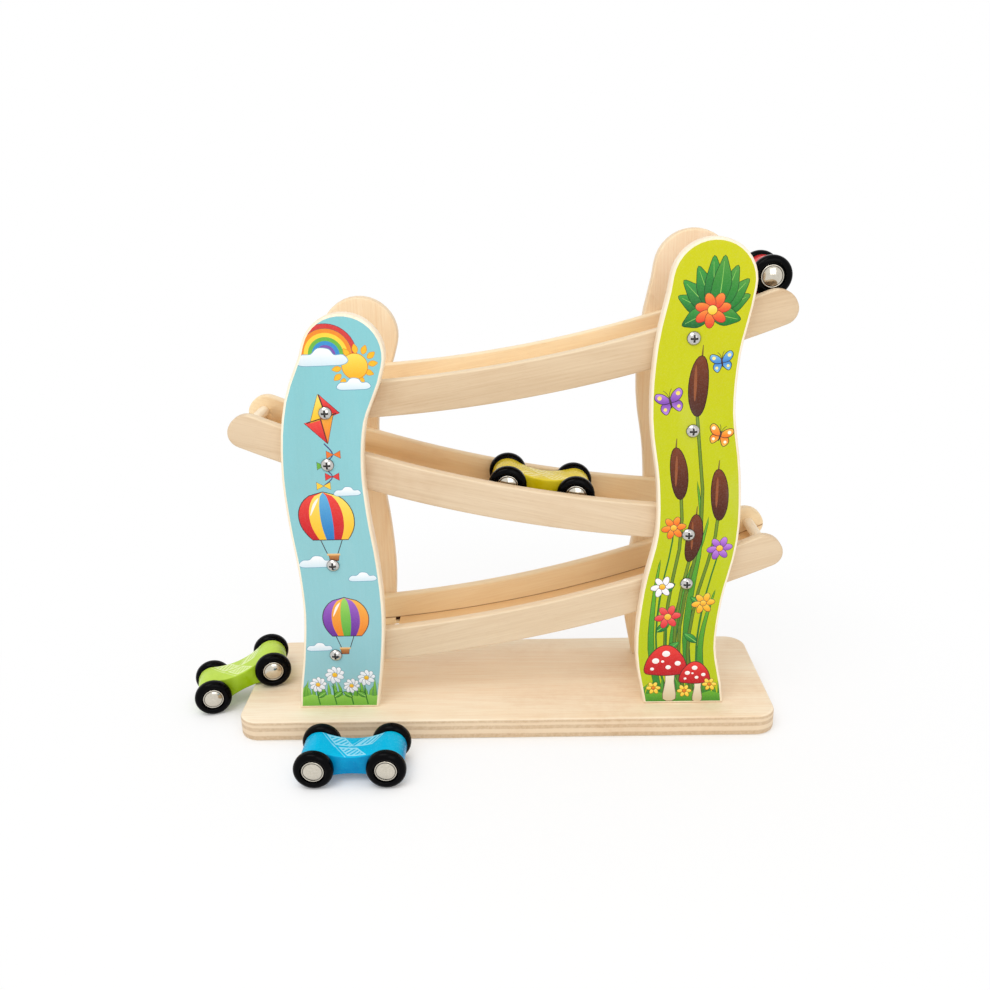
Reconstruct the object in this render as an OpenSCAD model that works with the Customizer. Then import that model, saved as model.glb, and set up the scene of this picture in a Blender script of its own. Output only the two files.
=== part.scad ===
// A click clack track toy. Three curved wooden ramps zigzag between a short and a tall pair of
// wavy uprights on a plywood base, and four small cars roll on them or stand beside them.
// The origin is the centre of the base board's underside, +X is to the right of the printed
// front, +Y goes away from the viewer and +Z is up.

/* [Base board] */
// Length of the base board, left to right
base_length = 300; // [285:1:330]
// Depth of the base board, front to back
base_depth = 95; // [85:1:120]
// Thickness of the base board
base_thickness = 12; // [10:0.5:14]
// Radius of the base board's four corners
base_corner_radius = 12; // [3:0.5:20]

/* [Uprights] */
// Thickness of the four uprights
upright_thickness = 8; // [6:0.5:12]
// Place of the short uprights' foot along the base
short_upright_x = -94.3; // [-100:0.1:-90]
// Height of the short uprights above the base board
short_upright_height = 222.5; // [215:0.5:240]
// Width of the short uprights at the foot
short_foot_width = 45; // [42:0.5:50]
// Width of the short uprights at the head, across the round top
short_head_width = 42.5; // [38:0.5:46]
// Place of the tall uprights' foot along the base
tall_upright_x = 100.1; // [96:0.1:106]
// Height of the tall uprights above the base board
tall_upright_height = 254.8; // [248:0.2:270]
// Width of the tall uprights at the foot
tall_foot_width = 44.5; // [42:0.5:50]
// Width of the tall uprights at the head, across the round top
tall_head_width = 42.5; // [38:0.5:46]

/* [Ramps] */
// Radius of the curve of a rail's top edge
ramp_radius = 700; // [650:5:800]
// Length of a rail along its top edge
ramp_length = 256; // [250:1:262]
// Clear width between the two rails of a ramp
channel_width = 38; // [37:0.5:44]
// Thickness of a rail
rail_thickness = 6; // [5:0.5:8]
// Height of a rail
rail_height = 19; // [19:0.5:24]
// Depth of the floor's running face below the rails' top edge
floor_depth = 14.2; // [12:0.1:15]
// Thickness of the floor strip
floor_thickness = 2.5; // [2:0.1:3]
// Depth of the groove that holds the floor in each rail
groove_depth = 2; // [1.5:0.1:2.4]
// Length of the open drop gap between the floor's end and the rails' low end
drop_gap = 36; // [28:1:42]
// Length by which a groove runs on past the floor's low end
groove_run_out = 3.1; // [1:0.1:4]
// Bare length of a rail between the floor's high end and its tip
floor_setback = 6.5; // [5.5:0.5:8]
// Radius of the upper corner at a rail's high tip
tip_upper_radius = 10.5; // [6:0.5:11]
// Radius of the lower corner at a rail's high tip
tip_lower_radius = 8; // [4:0.5:8.5]
// Radius of both corners at a rail's low end
low_corner_radius = 4; // [2:0.5:6]

/* [Top ramp] */
// Height of the top ramp's low end above the base board, to the rails' top edge
top_low_height = 185; // [180:0.5:188]
// Slope of the top ramp at its low end, in degrees
top_low_slope = 0; // [-0.5:0.05:1]
// Length of rail beyond the short upright's screw
top_low_overhang = 15.7; // [8:0.1:20]
// Place of the screw in the short upright, from the upright's foot
top_low_screw_offset = 6; // [0:0.1:10]
// Depth of that screw below the rail's top edge
top_low_screw_drop = 13; // [8:0.1:14]
// Place of the screw in the tall upright, from the upright's foot
top_high_screw_offset = -2.6; // [-6:0.1:6]
// Depth of that screw below the rail's top edge
top_high_screw_drop = 8.3; // [6:0.1:10]

/* [Middle ramp] */
// Height of the middle ramp's low end above the base board, as a share of the top ramp's
middle_low_share = 0.6184; // [0.6:0.0002:0.63]
// Slope of the middle ramp at its low end, in degrees
middle_low_slope = 2.85; // [2:0.05:3.5]
// Length of rail beyond the tall upright's screw
middle_low_overhang = 11.2; // [8:0.1:20]
// Place of the screw in the tall upright, from the upright's foot
middle_low_screw_offset = -1.1; // [-6:0.1:6]
// Depth of that screw below the rail's top edge
middle_low_screw_drop = 13; // [8:0.1:14]
// Place of the screw in the short upright, from the upright's foot
middle_high_screw_offset = 4.9; // [0:0.1:10]
// Depth of that screw below the rail's top edge
middle_high_screw_drop = 9.5; // [6:0.1:10]

/* [Bottom ramp] */
// Height of the bottom ramp's low end above the base board, as a share of the top ramp's
bottom_low_share = 0.2297; // [0.22:0.0001:0.24]
// Slope of the bottom ramp at its low end, in degrees
bottom_low_slope = 2.7; // [2:0.05:3.5]
// Length of rail beyond the short upright's screw
bottom_low_overhang = 7; // [6.5:0.1:20]
// Place of the screw in the short upright, from the upright's foot
bottom_low_screw_offset = 0.5; // [-2:0.1:6]
// Depth of that screw below the rail's top edge
bottom_low_screw_drop = 9.3; // [8:0.1:14]
// Place of the screw in the tall upright, from the upright's foot
bottom_high_screw_offset = -1; // [-6:0.1:6]
// Depth of that screw below the rail's top edge
bottom_high_screw_drop = 7.8; // [6:0.1:10]

/* [Dowels] */
// Diameter of the stop dowel at each ramp's high end
stop_dowel_diameter = 6; // [5:0.1:7]
// Distance of the stop dowel's centre from the rails' tips
stop_dowel_setback = 8.5; // [8:0.1:9.5]
// Depth of the stop dowel's centre below the rails' top edge
stop_dowel_drop = 9.5; // [8:0.1:10.5]
// Depth of the blind hole that holds each end of a stop dowel
stop_hole_depth = 3; // [2:0.1:4.5]
// Diameter of the spacer dowels between the front and rear uprights
spacer_diameter = 10; // [8:0.5:14]
// Height of the spacer dowel between the short uprights, as a share of the top ramp's low end
short_spacer_share = 0.4746; // [0.43:0.0002:0.52]
// Place of that spacer dowel, from the uprights' foot
short_spacer_offset = 3.3; // [-4:0.1:8]
// Height of the spacer dowel between the tall uprights, as a share of the top ramp's low end
tall_spacer_share = 0.8589; // [0.81:0.0001:0.9]
// Place of that spacer dowel, from the uprights' foot
tall_spacer_offset = -1.1; // [-6:0.1:6]

/* [Screws] */
// Diameter of a screw's shank
screw_diameter = 3; // [2.5:0.1:3.5]
// Diameter of the round head of a screw that shows in an upright
screw_head_diameter = 6.8; // [6:0.1:8]
// Height of that head
screw_head_height = 2.2; // [1.6:0.1:3]
// Length of a screw in a rail or spacer beyond the upright
screw_bite = 3; // [2:0.1:3.2]
// Length of the point of a screw
screw_point_length = 1.6; // [1:0.1:2]
// Length of the screws that hold the uprights on the base board
base_screw_length = 26; // [20:1:32]
// Diameter of the flat head of a base screw
base_screw_head_diameter = 6.8; // [6:0.1:7.5]
// Depth of a base screw's head below the base board's underside
base_screw_sink = 0.6; // [0.3:0.1:1.5]
// Distance between the two base screws of an upright
base_screw_spacing = 24; // [18:0.5:30]

/* [Cars] */
// Diameter of a car wheel
wheel_diameter = 21; // [20:0.1:22]
// Width of a car wheel
wheel_width = 6.5; // [5.5:0.1:7]
// Radius of a tyre's rounded edges
tyre_edge_radius = 2.8; // [1.5:0.1:3]
// Diameter of the recess in a wheel that holds the hub cap
hub_recess_diameter = 13.2; // [12.5:0.1:14]
// Depth of the recess in a wheel
hub_recess_depth = 1.6; // [1:0.1:2.2]
// Diameter of a hub cap
hub_cap_diameter = 11.8; // [10:0.1:12]
// Height of a hub cap, from its flat back to the top of its dome
hub_cap_height = 2.2; // [2:0.1:2.6]
// Distance between a car's two axle rods
wheelbase = 37.6; // [36:0.1:40]
// Width of a car's wooden body
car_body_width = 18; // [15:0.1:18.5]
// Radius of the body's round ends, about the axle rods
car_end_radius = 8.6; // [7.5:0.1:8.8]
// Height of the body's hollow top above the axle rods
waist_top = 4.7; // [4:0.1:6]
// Depth of the body's hollow underside below the axle rods
waist_bottom = 5.7; // [5:0.1:6.2]
// Diameter of an axle rod
rod_diameter = 2.4; // [2:0.1:3]

/* [Car places] */
// Angle by which the red car's rear wheels lean past the stop dowel towards the rails' tips
red_car_lean = 10; // [0:1:14]
// Sideways place of the red car in its channel, towards the rear rail
red_car_shift = 1.6; // [-1.8:0.1:1.8]
// Length of floor between the yellow car's front wheels and the floor's low end
yellow_car_run = 34; // [10:1:120]
// Sideways place of the yellow car in its channel, towards the rear rail
yellow_car_shift = 1.6; // [-1.8:0.1:1.8]
// Place of the blue car along the base board
blue_car_x = -79.7; // [-100:0.1:100]
// Gap between the base board's front edge and the blue car's near wheels
blue_car_gap = 13.8; // [5:0.1:30]
// Distance of the green car's middle beyond the base board's left edge
green_car_overhang = 7.8; // [7.4:0.1:9]
// Place of the green car, front to back
green_car_y = -0.3; // [-10:0.1:10]
// Heading of the green car, in degrees, turned about its middle
green_car_heading = 16; // [0:0.1:17]

/* [Hidden] */
// Heights that keep their places between the base board and the top ramp
middle_low_height = middle_low_share * top_low_height;
bottom_low_height = bottom_low_share * top_low_height;
short_spacer_height = short_spacer_share * top_low_height;
tall_spacer_height = tall_spacer_share * top_low_height;
// Running clearance round a turning rod, and the fit of pressed, glued and screwed pieces
running_gap = 0.06;
fit_gap = 0.02;
wood_gap = 0.05;
// Gap under a wheel that rests on the track, and at the side of a wheel or behind a cap
rest_gap = 0.3;
side_gap = 0.25;
// How far a cut runs past the face that it opens
overrun = 1;
// Unit change from radians to degrees
degrees_per_radian = 180 / PI;
// Shares of the foot width by which the uprights' middle line sways, from the foot to the
// middle of the round head, at even steps of height
short_sway_shares = [0, 0.09, 0.15, 0.13, 0.065, 0.045, 0.13, 0.375];
tall_sway_shares = [0, -0.12, -0.065, 0.083, 0.07, -0.03, 0, 0.142];
// Number of straight steps that stand for each kind of curve
sway_steps = 28;
head_steps = 18;
rail_steps = 48;
corner_steps = 8;
body_steps = 16;
// Shares of a Phillips recess: its reach and its slot width in the head's diameter, and its
// depth in the head's height
phillips_reach_share = 0.56;
phillips_slot_share = 0.15;
phillips_depth_share = 0.55;
// Share of its height that a screw head rises straight before its dome starts
head_rim_share = 0.25;
// Share of its height that a hub cap rises straight before its dome starts
cap_rim_share = 0.3;
// Share of its height that the axle rod reaches into a hub cap
cap_socket_share = 0.7;
// Radius of the soft edge round a wheel's recess
recess_edge_radius = 0.8;

// Y of the rails' and uprights' faces on the rear side, which the front side mirrors
rail_inner_y = channel_width / 2;
rail_outer_y = rail_inner_y + rail_thickness;
upright_outer_y = rail_outer_y + upright_thickness;

// Each ramp: name, side of its high end, low end's x and height, low end's slope, and the x and
// depth of its two screws
top_low_screw_x = short_upright_x + top_low_screw_offset;
middle_low_screw_x = tall_upright_x + middle_low_screw_offset;
bottom_low_screw_x = short_upright_x + bottom_low_screw_offset;
RAMPS = [
    ["top_ramp", 1, top_low_screw_x - top_low_overhang, top_low_height, top_low_slope,
        top_low_screw_x, top_low_screw_drop,
        tall_upright_x + top_high_screw_offset, top_high_screw_drop],
    ["middle_ramp", -1, middle_low_screw_x + middle_low_overhang, middle_low_height,
        middle_low_slope, middle_low_screw_x, middle_low_screw_drop,
        short_upright_x + middle_high_screw_offset, middle_high_screw_drop],
    ["bottom_ramp", 1, bottom_low_screw_x - bottom_low_overhang, bottom_low_height,
        bottom_low_slope, bottom_low_screw_x, bottom_low_screw_drop,
        tall_upright_x + bottom_high_screw_offset, bottom_high_screw_drop]
];
function ramp_side(ramp) = ramp[1];
function ramp_slope(ramp) = ramp[4];
function ramp_centre(ramp) = [
    ramp[2] - ramp[1] * ramp_radius * sin(ramp[4]),
    base_thickness + ramp[3] + ramp_radius * cos(ramp[4])
];

// Angle, seen from the middle of a ramp's curve, of a length along the rails' top edge
function angle_of(length) = length / ramp_radius * degrees_per_radian;
function tip_angle(ramp) = ramp_slope(ramp) + angle_of(ramp_length);
function floor_end_angle(ramp) = ramp_slope(ramp) + angle_of(drop_gap);
function dowel_angle(ramp) = tip_angle(ramp) - angle_of(stop_dowel_setback);
floor_radius = ramp_radius + floor_depth;
dowel_radius = ramp_radius + stop_dowel_drop;

// A point of a ramp's curve from its radius and angle, with directions towards and along it
function ramp_point(radius, angle) = [radius * sin(angle), -radius * cos(angle)];
function towards_centre(angle) = [-sin(angle), cos(angle)];
function along_ramp(angle) = [cos(angle), sin(angle)];
function ramp_arc(radius, start, end, steps) = [
    for (i = [0:steps]) ramp_point(radius, start + (end - start) * i / steps)
];

// A rounded corner of a rail. Turns count from towards the centre, and grow towards the tip
function rail_corner(radius, angle, corner, start) = [
    for (i = [0:corner_steps])
        let (turn = start + 90 * i / corner_steps)
        ramp_point(radius, angle)
            + corner * (cos(turn) * towards_centre(angle) + sin(turn) * along_ramp(angle))
];
function rail_outline(low, tip) =
    let (
        tip_share = min(1, rail_height / (tip_upper_radius + tip_lower_radius)),
        upper_corner = tip_upper_radius * tip_share,
        lower_corner = tip_lower_radius * tip_share,
        low_inset = angle_of(low_corner_radius),
        upper_inset = angle_of(upper_corner),
        lower_inset = angle_of(lower_corner),
        bottom_radius = ramp_radius + rail_height
    )
    concat(
        ramp_arc(ramp_radius, low + low_inset, tip - upper_inset, rail_steps),
        rail_corner(ramp_radius + upper_corner, tip - upper_inset, upper_corner, 0),
        rail_corner(bottom_radius - lower_corner, tip - lower_inset, lower_corner, 90),
        ramp_arc(bottom_radius, tip - lower_inset, low + low_inset, rail_steps),
        rail_corner(bottom_radius - low_corner_radius, low + low_inset, low_corner_radius, 180),
        rail_corner(ramp_radius + low_corner_radius, low + low_inset, low_corner_radius, 270)
    );

// A band of even thickness that follows a ramp's curve
function band_outline(inner, outer, start, end) = concat(
    ramp_arc(inner, start, end, rail_steps),
    ramp_arc(outer, end, start, rail_steps)
);

// Height of a ramp's top edge at a place along the base
function rail_top_z(ramp, x) =
    ramp_centre(ramp)[1] - sqrt(pow(ramp_radius, 2) - pow(x - ramp_centre(ramp)[0], 2));
function low_screw_place(ramp) = [ramp[5], rail_top_z(ramp, ramp[5]) - ramp[6]];
function high_screw_place(ramp) = [ramp[7], rail_top_z(ramp, ramp[7]) - ramp[8]];
short_spacer_place = [short_upright_x + short_spacer_offset,
    base_thickness + short_spacer_height];
tall_spacer_place = [tall_upright_x + tall_spacer_offset,
    base_thickness + tall_spacer_height];
short_screw_places = [
    low_screw_place(RAMPS[0]),
    high_screw_place(RAMPS[1]),
    short_spacer_place,
    low_screw_place(RAMPS[2])
];
tall_screw_places = [
    high_screw_place(RAMPS[0]),
    tall_spacer_place,
    low_screw_place(RAMPS[1]),
    high_screw_place(RAMPS[2])
];

// Smooth curve through even stations of sway. A share of the height gives one point of it
function station(shares, i) = shares[max(0, min(len(shares) - 1, i))];
function sway(shares, share) =
    let (
        last = len(shares) - 1,
        i = min(last - 1, floor(share * last)),
        t = share * last - i,
        a = station(shares, i),
        b = station(shares, i + 1),
        slope_a = (b - station(shares, i - 1)) / 2,
        slope_b = (station(shares, i + 2) - a) / 2
    )
    a + slope_a * t + (3 * (b - a) - 2 * slope_a - slope_b) * pow(t, 2)
        + (2 * (a - b) + slope_a + slope_b) * pow(t, 3);

// Outline of an upright: both edges lie half its width from the swaying middle line, and a
// half circle closes the head
function upright_outline(x, height, foot_width, head_width, shares) =
    let (
        rise = height - head_width / 2,
        share_step = 1 / sway_steps,
        middle = [
            for (i = [0:sway_steps])
                [x + foot_width * sway(shares, i * share_step),
                    base_thickness + rise * i * share_step]
        ],
        last = sway_steps,
        lean = [
            for (i = [0:last])
                let (d = middle[min(last, i + 1)] - middle[max(0, i - 1)])
                i == 0 ? 90 : atan2(d[1], d[0])
        ],
        half_width = [
            for (i = [0:last]) (foot_width + (head_width - foot_width) * i * share_step) / 2
        ]
    )
    concat(
        [for (i = [0:last])
            middle[i] + half_width[i] * [cos(lean[i] - 90), sin(lean[i] - 90)]],
        [for (i = [1:head_steps - 1])
            let (turn = lean[last] - 90 + 180 * i / head_steps)
            middle[last] + half_width[last] * [cos(turn), sin(turn)]],
        [for (i = [last:-1:0])
            middle[i] + half_width[i] * [cos(lean[i] + 90), sin(lean[i] + 90)]]
    );

// Points of an arc, for turned profiles and for the car body
function arc_points(centre, radius, start, end, steps) = [
    for (i = [0:steps])
        let (turn = start + (end - start) * i / steps)
        centre + radius * [cos(turn), sin(turn)]
];

// Stands an outline drawn in X and Z upright, with its thickness running from y to y + depth
module standing(y, depth) {
    translate([0, y + depth, 0]) rotate([90, 0, 0]) linear_extrude(depth) children();
}

// Carries what is drawn about a ramp's own centre to the ramp's place
module on_ramp(ramp) {
    centre = ramp_centre(ramp);
    translate([centre[0], 0, centre[1]])
        mirror([ramp_side(ramp) < 0 ? 1 : 0, 0, 0]) children();
}

// A straight bore or rod along Y at a place in X and Z
module bar_along_y(place, start, end, radius) {
    translate([place[0], end, place[1]])
        rotate([90, 0, 0]) cylinder(h = end - start, r = radius, $fn = 48);
}

// Base board with countersunk holes for the screws that come up into the uprights
base_screw_y = (rail_outer_y + upright_outer_y) / 2;
base_screw_places = [
    for (foot = [short_upright_x, tall_upright_x], side = [-1, 1], y_side = [-1, 1])
        [foot + side * base_screw_spacing / 2, y_side * base_screw_y]
];
base_screw_cone_height = (base_screw_head_diameter - screw_diameter) / 2;

module base_board() {
    straight_x = base_length - 2 * base_corner_radius;
    straight_y = base_depth - 2 * base_corner_radius;
    hole_radius = screw_diameter / 2 + fit_gap;
    head_radius = base_screw_head_diameter / 2 + fit_gap;
    color("burlywood")
        difference() {
            linear_extrude(base_thickness) {
                square([base_length, straight_y], center = true);
                square([straight_x, base_depth], center = true);
                for (x = [-1, 1], y = [-1, 1])
                    translate([x * straight_x / 2, y * straight_y / 2])
                        circle(base_corner_radius, $fn = 96);
            }
            for (place = base_screw_places)
                translate([place[0], place[1], 0]) {
                    translate([0, 0, -overrun])
                        cylinder(h = base_thickness + 2 * overrun, r = hole_radius, $fn = 48);
                    translate([0, 0, -overrun])
                        cylinder(h = overrun + base_screw_sink, r = head_radius, $fn = 48);
                    translate([0, 0, base_screw_sink])
                        cylinder(h = base_screw_cone_height, r1 = head_radius,
                            r2 = hole_radius, $fn = 48);
                }
        }
}

// Cross recess cut down into a screw head whose top is at the given height
module phillips_recess(top, head_diameter, depth) {
    reach = head_diameter * phillips_reach_share;
    slot = head_diameter * phillips_slot_share;
    translate([0, 0, top - depth / 2 + overrun / 2]) {
        cube([reach, slot, depth + overrun], center = true);
        cube([slot, reach, depth + overrun], center = true);
    }
}

// Shank and point of a screw, from the given start up to its full length
module screw_shank(start, length) {
    shank_radius = screw_diameter / 2;
    translate([0, 0, start])
        cylinder(h = length - start - screw_point_length, r = shank_radius, $fn = 48);
    translate([0, 0, length - screw_point_length])
        cylinder(h = screw_point_length, r1 = shank_radius, r2 = shank_radius / 3, $fn = 48);
}

// Flat head screws that hold the uprights, put in from under the base board
module base_screws() {
    head_radius = base_screw_head_diameter / 2;
    recess_depth = base_screw_cone_height * phillips_depth_share;
    color("silver")
        for (place = base_screw_places)
            translate([place[0], place[1], base_screw_sink])
                difference() {
                    union() {
                        cylinder(h = base_screw_cone_height, r1 = head_radius,
                            r2 = screw_diameter / 2, $fn = 48);
                        screw_shank(base_screw_cone_height, base_screw_length);
                    }
                    mirror([0, 0, 1])
                        phillips_recess(0, base_screw_head_diameter, recess_depth);
                }
}

// One upright. side is -1 for the front and 1 for the rear one of a pair
module upright(side, outline, screw_places, foot_x) {
    y = side < 0 ? -upright_outer_y : rail_outer_y;
    pilot_height = base_screw_sink + base_screw_length + fit_gap;
    difference() {
        standing(y, upright_thickness) polygon(outline);
        for (place = screw_places)
            bar_along_y(place, y - overrun, y + upright_thickness + overrun,
                screw_diameter / 2 + fit_gap);
        for (x = [-1, 1])
            translate([foot_x + x * base_screw_spacing / 2, side * base_screw_y,
                base_thickness - overrun])
                cylinder(h = pilot_height - base_thickness + overrun,
                    r = screw_diameter / 2 + fit_gap, $fn = 48);
    }
}

short_outline = upright_outline(short_upright_x, short_upright_height, short_foot_width,
    short_head_width, short_sway_shares);
tall_outline = upright_outline(tall_upright_x, tall_upright_height, tall_foot_width,
    tall_head_width, tall_sway_shares);

module front_short_upright() {
    color("lightskyblue") upright(-1, short_outline, short_screw_places, short_upright_x);
}

module rear_short_upright() {
    color("wheat") upright(1, short_outline, short_screw_places, short_upright_x);
}

module front_tall_upright() {
    color("yellowgreen") upright(-1, tall_outline, tall_screw_places, tall_upright_x);
}

module rear_tall_upright() {
    color("wheat") upright(1, tall_outline, tall_screw_places, tall_upright_x);
}

// Round head screw with its head's flat back at z = 0 and its shank below
module round_head_screw() {
    head_radius = screw_head_diameter / 2;
    rim_height = screw_head_height * head_rim_share;
    dome_height = screw_head_height - rim_height;
    dome_radius = (pow(head_radius, 2) + pow(dome_height, 2)) / (2 * dome_height);
    dome_turn = asin(head_radius / dome_radius);
    profile = concat(
        [[0, 0], [head_radius, 0]],
        arc_points([0, screw_head_height - dome_radius], dome_radius, 90 - dome_turn, 90,
            corner_steps)
    );
    difference() {
        union() {
            rotate_extrude($fn = 48) polygon(profile);
            rotate([180, 0, 0]) screw_shank(0, upright_thickness + screw_bite);
        }
        phillips_recess(screw_head_height, screw_head_diameter,
            screw_head_height * phillips_depth_share);
    }
}

module upright_screws(side, screw_places) {
    color("silver")
        for (place = screw_places)
            translate([place[0], side * upright_outer_y, place[1]])
                rotate([-side * 90, 0, 0]) round_head_screw();
}

// Rail with a groove for the floor, a blind hole for the stop dowel and two screw holes
module rail(ramp, side) {
    low = ramp_slope(ramp);
    y = side < 0 ? -rail_outer_y : rail_inner_y;
    groove_y = side < 0 ? -rail_inner_y - groove_depth - wood_gap : rail_inner_y - overrun;
    dowel_start = side < 0 ? -rail_inner_y - stop_hole_depth - wood_gap : 0;
    dowel_end = side < 0 ? 0 : rail_inner_y + stop_hole_depth + wood_gap;
    screw_start = side < 0 ? -rail_outer_y - overrun : rail_outer_y - screw_bite - fit_gap;
    screw_end = side < 0 ? -rail_outer_y + screw_bite + fit_gap : rail_outer_y + overrun;
    difference() {
        on_ramp(ramp)
            difference() {
                standing(y, rail_thickness) polygon(rail_outline(low, tip_angle(ramp)));
                standing(groove_y, groove_depth + wood_gap + overrun)
                    polygon(band_outline(floor_radius - wood_gap,
                        floor_radius + floor_thickness + wood_gap,
                        floor_end_angle(ramp) - angle_of(groove_run_out),
                        tip_angle(ramp) - angle_of(floor_setback - wood_gap)));
                bar_along_y(ramp_point(dowel_radius, dowel_angle(ramp)),
                    dowel_start, dowel_end, stop_dowel_diameter / 2 + wood_gap);
            }
        for (place = [low_screw_place(ramp), high_screw_place(ramp)])
            bar_along_y(place, screw_start, screw_end, screw_diameter / 2 + fit_gap);
    }
}

// Thin floor strip, bent into the grooves of its two rails
module ramp_floor(ramp) {
    half_width = rail_inner_y + groove_depth;
    on_ramp(ramp)
        standing(-half_width, 2 * half_width)
            polygon(band_outline(floor_radius, floor_radius + floor_thickness,
                floor_end_angle(ramp), tip_angle(ramp) - angle_of(floor_setback)));
}

module stop_dowel(ramp) {
    half_length = rail_inner_y + stop_hole_depth;
    on_ramp(ramp)
        bar_along_y(ramp_point(dowel_radius, dowel_angle(ramp)), -half_length, half_length,
            stop_dowel_diameter / 2);
}

// Spacer dowel between a front and a rear upright, drilled at both ends for its screws
module spacer_dowel(place) {
    hole_radius = screw_diameter / 2 + fit_gap;
    hole_depth = screw_bite + fit_gap;
    difference() {
        bar_along_y(place, -rail_outer_y, rail_outer_y, spacer_diameter / 2);
        bar_along_y(place, -rail_outer_y - overrun, -rail_outer_y + hole_depth, hole_radius);
        bar_along_y(place, rail_outer_y - hole_depth, rail_outer_y + overrun, hole_radius);
    }
}

// Side outline of a car body: round ends joined by a hollow above and a shallower one below,
// both tangent to the ends
function waist_radius(waist) =
    (pow(wheelbase / 2, 2) + pow(waist, 2) - pow(car_end_radius, 2))
        / (2 * (car_end_radius - waist));
function waist_turn(waist) = atan2(wheelbase / 2, waist + waist_radius(waist));
car_outline =
    let (
        half_base = wheelbase / 2,
        top_turn = waist_turn(waist_top),
        bottom_turn = waist_turn(waist_bottom),
        top_middle = [0, waist_top + waist_radius(waist_top)],
        bottom_middle = [0, -waist_bottom - waist_radius(waist_bottom)]
    )
    concat(
        arc_points([half_base, 0], car_end_radius, bottom_turn - 90 - 2 * bottom_turn,
            90 + top_turn, 2 * body_steps),
        arc_points(top_middle, waist_radius(waist_top), top_turn - 90, -top_turn - 90,
            body_steps),
        arc_points([-half_base, 0], car_end_radius, 90 - top_turn, 270 + bottom_turn,
            2 * body_steps),
        arc_points(bottom_middle, waist_radius(waist_bottom), 90 + bottom_turn,
            90 - bottom_turn, body_steps)
    );

module car_body() {
    half_width = car_body_width / 2;
    difference() {
        standing(-half_width, car_body_width) polygon(car_outline);
        for (x = [-1, 1])
            bar_along_y([x * wheelbase / 2, 0], -half_width - overrun, half_width + overrun,
                rod_diameter / 2 + fit_gap);
    }
}

// Places along an axle rod, from the middle of the car outwards
wheel_inner_y = car_body_width / 2 + side_gap;
wheel_outer_y = wheel_inner_y + wheel_width;
cap_back_y = wheel_outer_y - hub_recess_depth + side_gap;
rod_end_y = cap_back_y + hub_cap_height * cap_socket_share;

module axle_rod(end) {
    color("silver")
        bar_along_y([end * wheelbase / 2, 0], -rod_end_y, rod_end_y, rod_diameter / 2);
}

// Wheel turned about its bore, with its outer face up, a round tyre edge and a hub recess
module turned_wheel() {
    tyre_radius = wheel_diameter / 2;
    recess_radius = hub_recess_diameter / 2;
    bore_radius = rod_diameter / 2 + running_gap;
    recess_floor = wheel_width - hub_recess_depth;
    edge = tyre_edge_radius;
    lip = recess_edge_radius;
    profile = concat(
        [[bore_radius, 0]],
        arc_points([tyre_radius - edge, edge], edge, -90, 0, corner_steps),
        arc_points([tyre_radius - edge, wheel_width - edge], edge, 0, 90, corner_steps),
        arc_points([recess_radius + lip, wheel_width - lip], lip, 90, 180, corner_steps),
        [[recess_radius, recess_floor], [bore_radius, recess_floor]]
    );
    rotate_extrude($fn = 72) polygon(profile);
}

module wheel(end, side) {
    color("dimgray")
        translate([end * wheelbase / 2, side * wheel_inner_y, 0])
            rotate([-side * 90, 0, 0]) turned_wheel();
}

// Domed hub cap with a blind socket that is pressed on the end of the rod
module turned_cap() {
    cap_radius = hub_cap_diameter / 2;
    rim_height = hub_cap_height * cap_rim_share;
    dome_height = hub_cap_height - rim_height;
    dome_radius = (pow(cap_radius, 2) + pow(dome_height, 2)) / (2 * dome_height);
    dome_turn = asin(cap_radius / dome_radius);
    socket_radius = rod_diameter / 2 + fit_gap;
    socket_height = hub_cap_height * cap_socket_share + fit_gap;
    profile = concat(
        [[socket_radius, 0], [cap_radius, 0]],
        arc_points([0, hub_cap_height - dome_radius], dome_radius, 90 - dome_turn, 90,
            corner_steps),
        [[0, socket_height], [socket_radius, socket_height]]
    );
    rotate_extrude($fn = 72) polygon(profile);
}

module hub_caps(end) {
    color("gainsboro")
        for (side = [-1, 1])
            translate([end * wheelbase / 2, side * cap_back_y, 0])
                rotate([-side * 90, 0, 0]) turned_cap();
}

// A wheel that stands on a floor has its axle rod at this radius of the ramp's curve
axle_radius = floor_radius - wheel_diameter / 2 - rest_gap;
// Angle between a ramp car's two axle rods, seen from the middle of the ramp's curve
car_angle = 2 * asin(wheelbase / 2 / axle_radius);
// The yellow car stands with both pairs of wheels on the middle ramp's floor
yellow_front_angle = floor_end_angle(RAMPS[1])
    + yellow_car_run / floor_radius * degrees_per_radian;
// The red car is parked with its rear wheels up on the top ramp's stop dowel, far enough from
// it to pass over it, and with its front wheels on the floor
perch_angle = dowel_angle(RAMPS[0]);
perch_distance = (wheel_diameter / 2 + stop_dowel_diameter / 2 + rest_gap) / cos(red_car_lean);
red_rear_point = ramp_point(dowel_radius, perch_angle)
    + perch_distance * (cos(red_car_lean) * towards_centre(perch_angle)
        + sin(red_car_lean) * along_ramp(perch_angle));
red_rear_radius = norm(red_rear_point);
red_rear_angle = atan2(red_rear_point[0], -red_rear_point[1]);
red_front_angle = red_rear_angle - acos(
    (pow(red_rear_radius, 2) + pow(axle_radius, 2) - pow(wheelbase, 2))
        / (2 * red_rear_radius * axle_radius));
// The green car stands with its front wheels on the table and its rear ones on the base board
green_car_rise = base_thickness + rest_gap;
green_car_tilt = asin(green_car_rise / wheelbase);

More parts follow.
